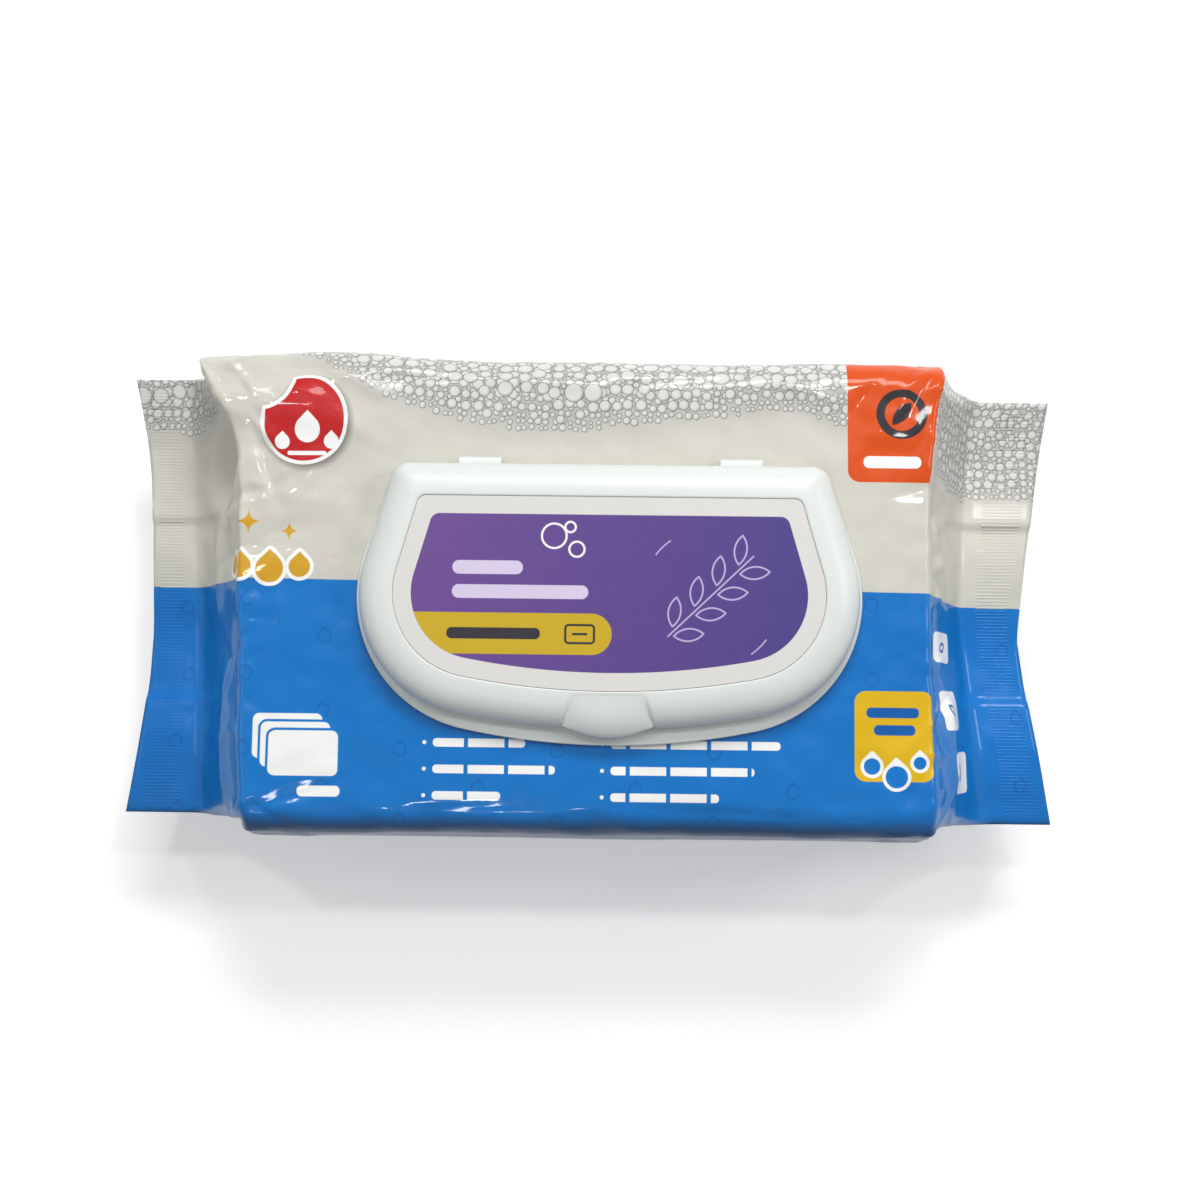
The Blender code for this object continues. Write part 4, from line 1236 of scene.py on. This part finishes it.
def rib_tree(material):
    """Turns each wire that lies across a fin into one crimp rib, a thin rod half sunk in the film."""
    tree = new_tree("crimp_ribs")
    radius = tree_input(tree, "Rib radius", "NodeSocketFloat", 0.3 * MM)
    sides = tree_input(tree, "Rib sides", "NodeSocketInt", 8)
    start, wires, sweep, smooth, realize, finish, end, circle = add_nodes(
        tree, "NodeGroupInput", "GeometryNodeMeshToCurve", "GeometryNodeCurveToMesh",
        "GeometryNodeSetShadeSmooth", "GeometryNodeRealizeInstances", "GeometryNodeSetMaterial",
        "NodeGroupOutput", "GeometryNodeCurvePrimitiveCircle")
    sweep.inputs["Fill Caps"].default_value = True
    finish.inputs["Material"].default_value = material
    chain(tree, start, wires, sweep, smooth, realize, finish, end)
    tree.links.new(start.outputs[radius.name], circle.inputs["Radius"])
    tree.links.new(start.outputs[sides.name], circle.inputs["Resolution"])
    tree.links.new(circle.outputs[0], sweep.inputs["Profile Curve"])
    return tree


def make_crimp_ribs(material, points, film):
    """Fine crimp ribs along X on both fins, following the fins' own waves."""
    tree = rib_tree(material)
    top = [j for j in range(points.shape[1]) if abs(film[0, j, 1]) < HALF_WIDTH - 1.5 * MM]
    last = len(points) - 1
    for name, rows in (("left_crimp", range(2, 10)), ("right_crimp", range(last - 9, last - 1))):
        y_top = points[rows[0]][top, 1]
        verts, edges, sheet = [], [], []
        for y in np.arange(y_top.min() + RIB_PITCH, y_top.max() - RIB_PITCH / 2, RIB_PITCH):
            first = len(verts)
            for row in rows:
                line = points[row][top]
                order = np.argsort(line[:, 1])
                x, z = (np.interp(y, line[order, 1], line[order, axis]) for axis in (0, 2))
                s, t = (np.interp(y, line[order, 1], film[row][top][order, axis]) for axis in (0, 1))
                verts.append((x, y, z - FIN_THICKNESS / 2))
                sheet.append((s, t, 0.0))
            edges += [(first + i, first + i + 1) for i in range(len(rows) - 1)]
        mesh = bpy.data.meshes.new(name)
        mesh.from_pydata(verts, edges, [])
        layer = mesh.attributes.new("film", "FLOAT_VECTOR", "POINT")
        layer.data.foreach_set("vector", np.array(sheet, np.float32).reshape(-1))
        ribs = mesh_object(name, mesh)
        bake_nodes(ribs, tree, {"Rib radius": FIN_THICKNESS / 2 + 0.06 * MM, "Rib sides": 8})
        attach(ribs, "pack")


def stack_tree(material):
    """Stacks copies of one folded sheet, each moved a little by a seeded random value."""
    tree = new_tree("folded_stack")
    count = tree_input(tree, "Sheet count", "NodeSocketInt", SHEETS)
    pitch = tree_input(tree, "Sheet pitch", "NodeSocketFloat", 1.2 * MM)
    loose = tree_input(tree, "Looseness", "NodeSocketFloat", 0.3 * MM)
    seed = tree_input(tree, "Seed", "NodeSocketInt", 3)
    line, move, place, realize, finish, end, start, rise, span, shift, less = add_nodes(
        tree, "GeometryNodeMeshLine", "GeometryNodeSetPosition", "GeometryNodeInstanceOnPoints",
        "GeometryNodeRealizeInstances", "GeometryNodeSetMaterial", "NodeGroupOutput", "NodeGroupInput",
        "ShaderNodeCombineXYZ", "ShaderNodeCombineXYZ", "FunctionNodeRandomValue", "ShaderNodeVectorMath")
    shift.data_type = "FLOAT_VECTOR"
    less.operation = "SCALE"
    less.inputs["Scale"].default_value = -1.0
    finish.inputs["Material"].default_value = material
    chain(tree, line, move, place, realize, finish, end)
    chain(tree, span, less)
    links = (
        (start.outputs[count.name], line.inputs["Count"]),
        (start.outputs[pitch.name], rise.inputs["Z"]),
        (rise.outputs[0], line.inputs["Offset"]),
        (start.outputs[loose.name], span.inputs["X"]),
        (start.outputs[loose.name], span.inputs["Y"]),
        (less.outputs[0], shift.inputs["Min"]),
        (span.outputs[0], shift.inputs["Max"]),
        (start.outputs[seed.name], shift.inputs["Seed"]),
        (shift.outputs["Value"], move.inputs["Offset"]),
        (start.outputs["Geometry"], place.inputs["Instance"]),
    )
    for source, target in links:
        tree.links.new(source, target)
    return tree


def make_wipes_stack(material):
    """Folded wipes, each a flat loop with round folds at its two long sides."""
    low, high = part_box("wipes_stack")
    pitch = (high.z - low.z) / SHEETS
    half_x = (high.x - low.x) / 2 - 0.6 * MM
    radius = pitch / 2 - 0.06 * MM
    fold_y = (high.y - low.y) / 2 - 1.6 * MM - radius
    outline = arc(fold_y, 0.0, radius, -math.pi / 2, math.pi / 2, 8)
    outline += arc(-fold_y, 0.0, radius, math.pi / 2, 3 * math.pi / 2, 8)
    rings = [[(x, y, z) for y, z in outline] for x in np.linspace(-half_x, half_x, 5)]
    mesh = closed_loft("folded_wipes", rings)
    centre = (low + high) / 2
    mesh.transform(Matrix.Translation((centre.x, centre.y, low.z + pitch / 2)))
    stack = mesh_object("folded_wipes", mesh)
    sizes = {"Sheet count": SHEETS, "Sheet pitch": pitch, "Looseness": 0.35 * MM}
    bake_nodes(stack, stack_tree(material), sizes)
    smooth_but_sharp_over(stack, 50)
    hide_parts("wipes_stack")
    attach(stack, "pack")


def seen_directly(tree, low, high):
    """A strength that is high for camera, glossy and transmission rays and low for the rest."""
    path = tree.nodes.new("ShaderNodeLightPath")
    seen = path.outputs["Is Camera Ray"]
    for ray in ("Is Glossy Ray", "Is Transmission Ray"):
        either = tree.nodes.new("ShaderNodeMath")
        either.operation = "MAXIMUM"
        tree.links.new(seen, either.inputs[0])
        tree.links.new(path.outputs[ray], either.inputs[1])
        seen = either.outputs[0]
    strength = tree.nodes.new("ShaderNodeMapRange")
    strength.inputs["To Min"].default_value = low
    strength.inputs["To Max"].default_value = high
    tree.links.new(seen, strength.inputs["Value"])
    return strength.outputs[0]


def make_floor():
    """A pale floor that shows almost white and still takes the pack's shadow."""
    material = bpy.data.materials.new("pale_floor")
    material.use_nodes = True
    tree = material.node_tree
    shader = tree.nodes["Principled BSDF"]
    shader.inputs["Base Color"].default_value = (0.9, 0.9, 0.9, 1.0)
    shader.inputs["Roughness"].default_value = 0.9
    glow = tree.nodes.new("ShaderNodeEmission")
    both = tree.nodes.new("ShaderNodeAddShader")
    tree.links.new(seen_directly(tree, 0.0, FLOOR_GLOW), glow.inputs["Strength"])
    tree.links.new(shader.outputs[0], both.inputs[0])
    tree.links.new(glow.outputs[0], both.inputs[1])
    tree.links.new(both.outputs[0], tree.nodes["Material Output"].inputs["Surface"])
    bpy.ops.mesh.primitive_plane_add(size=6.0)
    floor = bpy.context.object
    floor.name = "floor"
    floor.data.materials.append(material)


def make_studio():
    """A pale floor under a white sky, soft lamps behind and beside the pack, three small ones, the camera."""
    make_floor()
    scene = bpy.context.scene
    world = bpy.data.worlds.new("studio")
    scene.world = world
    world.use_nodes = True
    backdrop = world.node_tree.nodes["Background"]
    backdrop.inputs["Color"].default_value = (1.0, 1.0, 1.0, 1.0)
    world.node_tree.links.new(seen_directly(world.node_tree, SKY_LIGHT, 1.0), backdrop.inputs["Strength"])

    for name, place, width, depth, power in LAMPS:
        light = bpy.data.lights.new(name, "AREA")
        light.shape = "RECTANGLE"
        light.size = width
        light.size_y = depth
        light.energy = power
        lamp = bpy.data.objects.new(name, light)
        lamp.location = place
        lamp.rotation_euler = (LAMP_TARGET - Vector(place)).to_track_quat("-Z", "Y").to_euler()
        scene.collection.objects.link(lamp)

    lens = bpy.data.cameras.new("camera")
    lens.sensor_width = 36.0
    lens.lens = 54.0
    lens.clip_start = 0.01
    camera = bpy.data.objects.new("camera", lens)
    camera.location = CAMERA_PLACE
    camera.rotation_euler = CAMERA_TURN
    scene.collection.objects.link(camera)
    scene.camera = camera
    scene.view_settings.view_transform = "Standard"


def main():
    make_studio()
    film_print = printed_film()
    lid_plastic = moulded_plastic("lid_plastic", 0.34, 0.05 * MM)
    wipe_fabric = damp_nonwoven()
    points, film = make_wrapper(film_print)
    make_crimp_ribs(film_print, points, film)
    make_lid_frame(lid_plastic)
    make_lid_cover(lid_plastic)
    make_lid_label(printed_label())
    make_hinge_webs(lid_plastic)
    make_top_wipe(wipe_fabric)
    make_wipes_stack(wipe_fabric)


main()
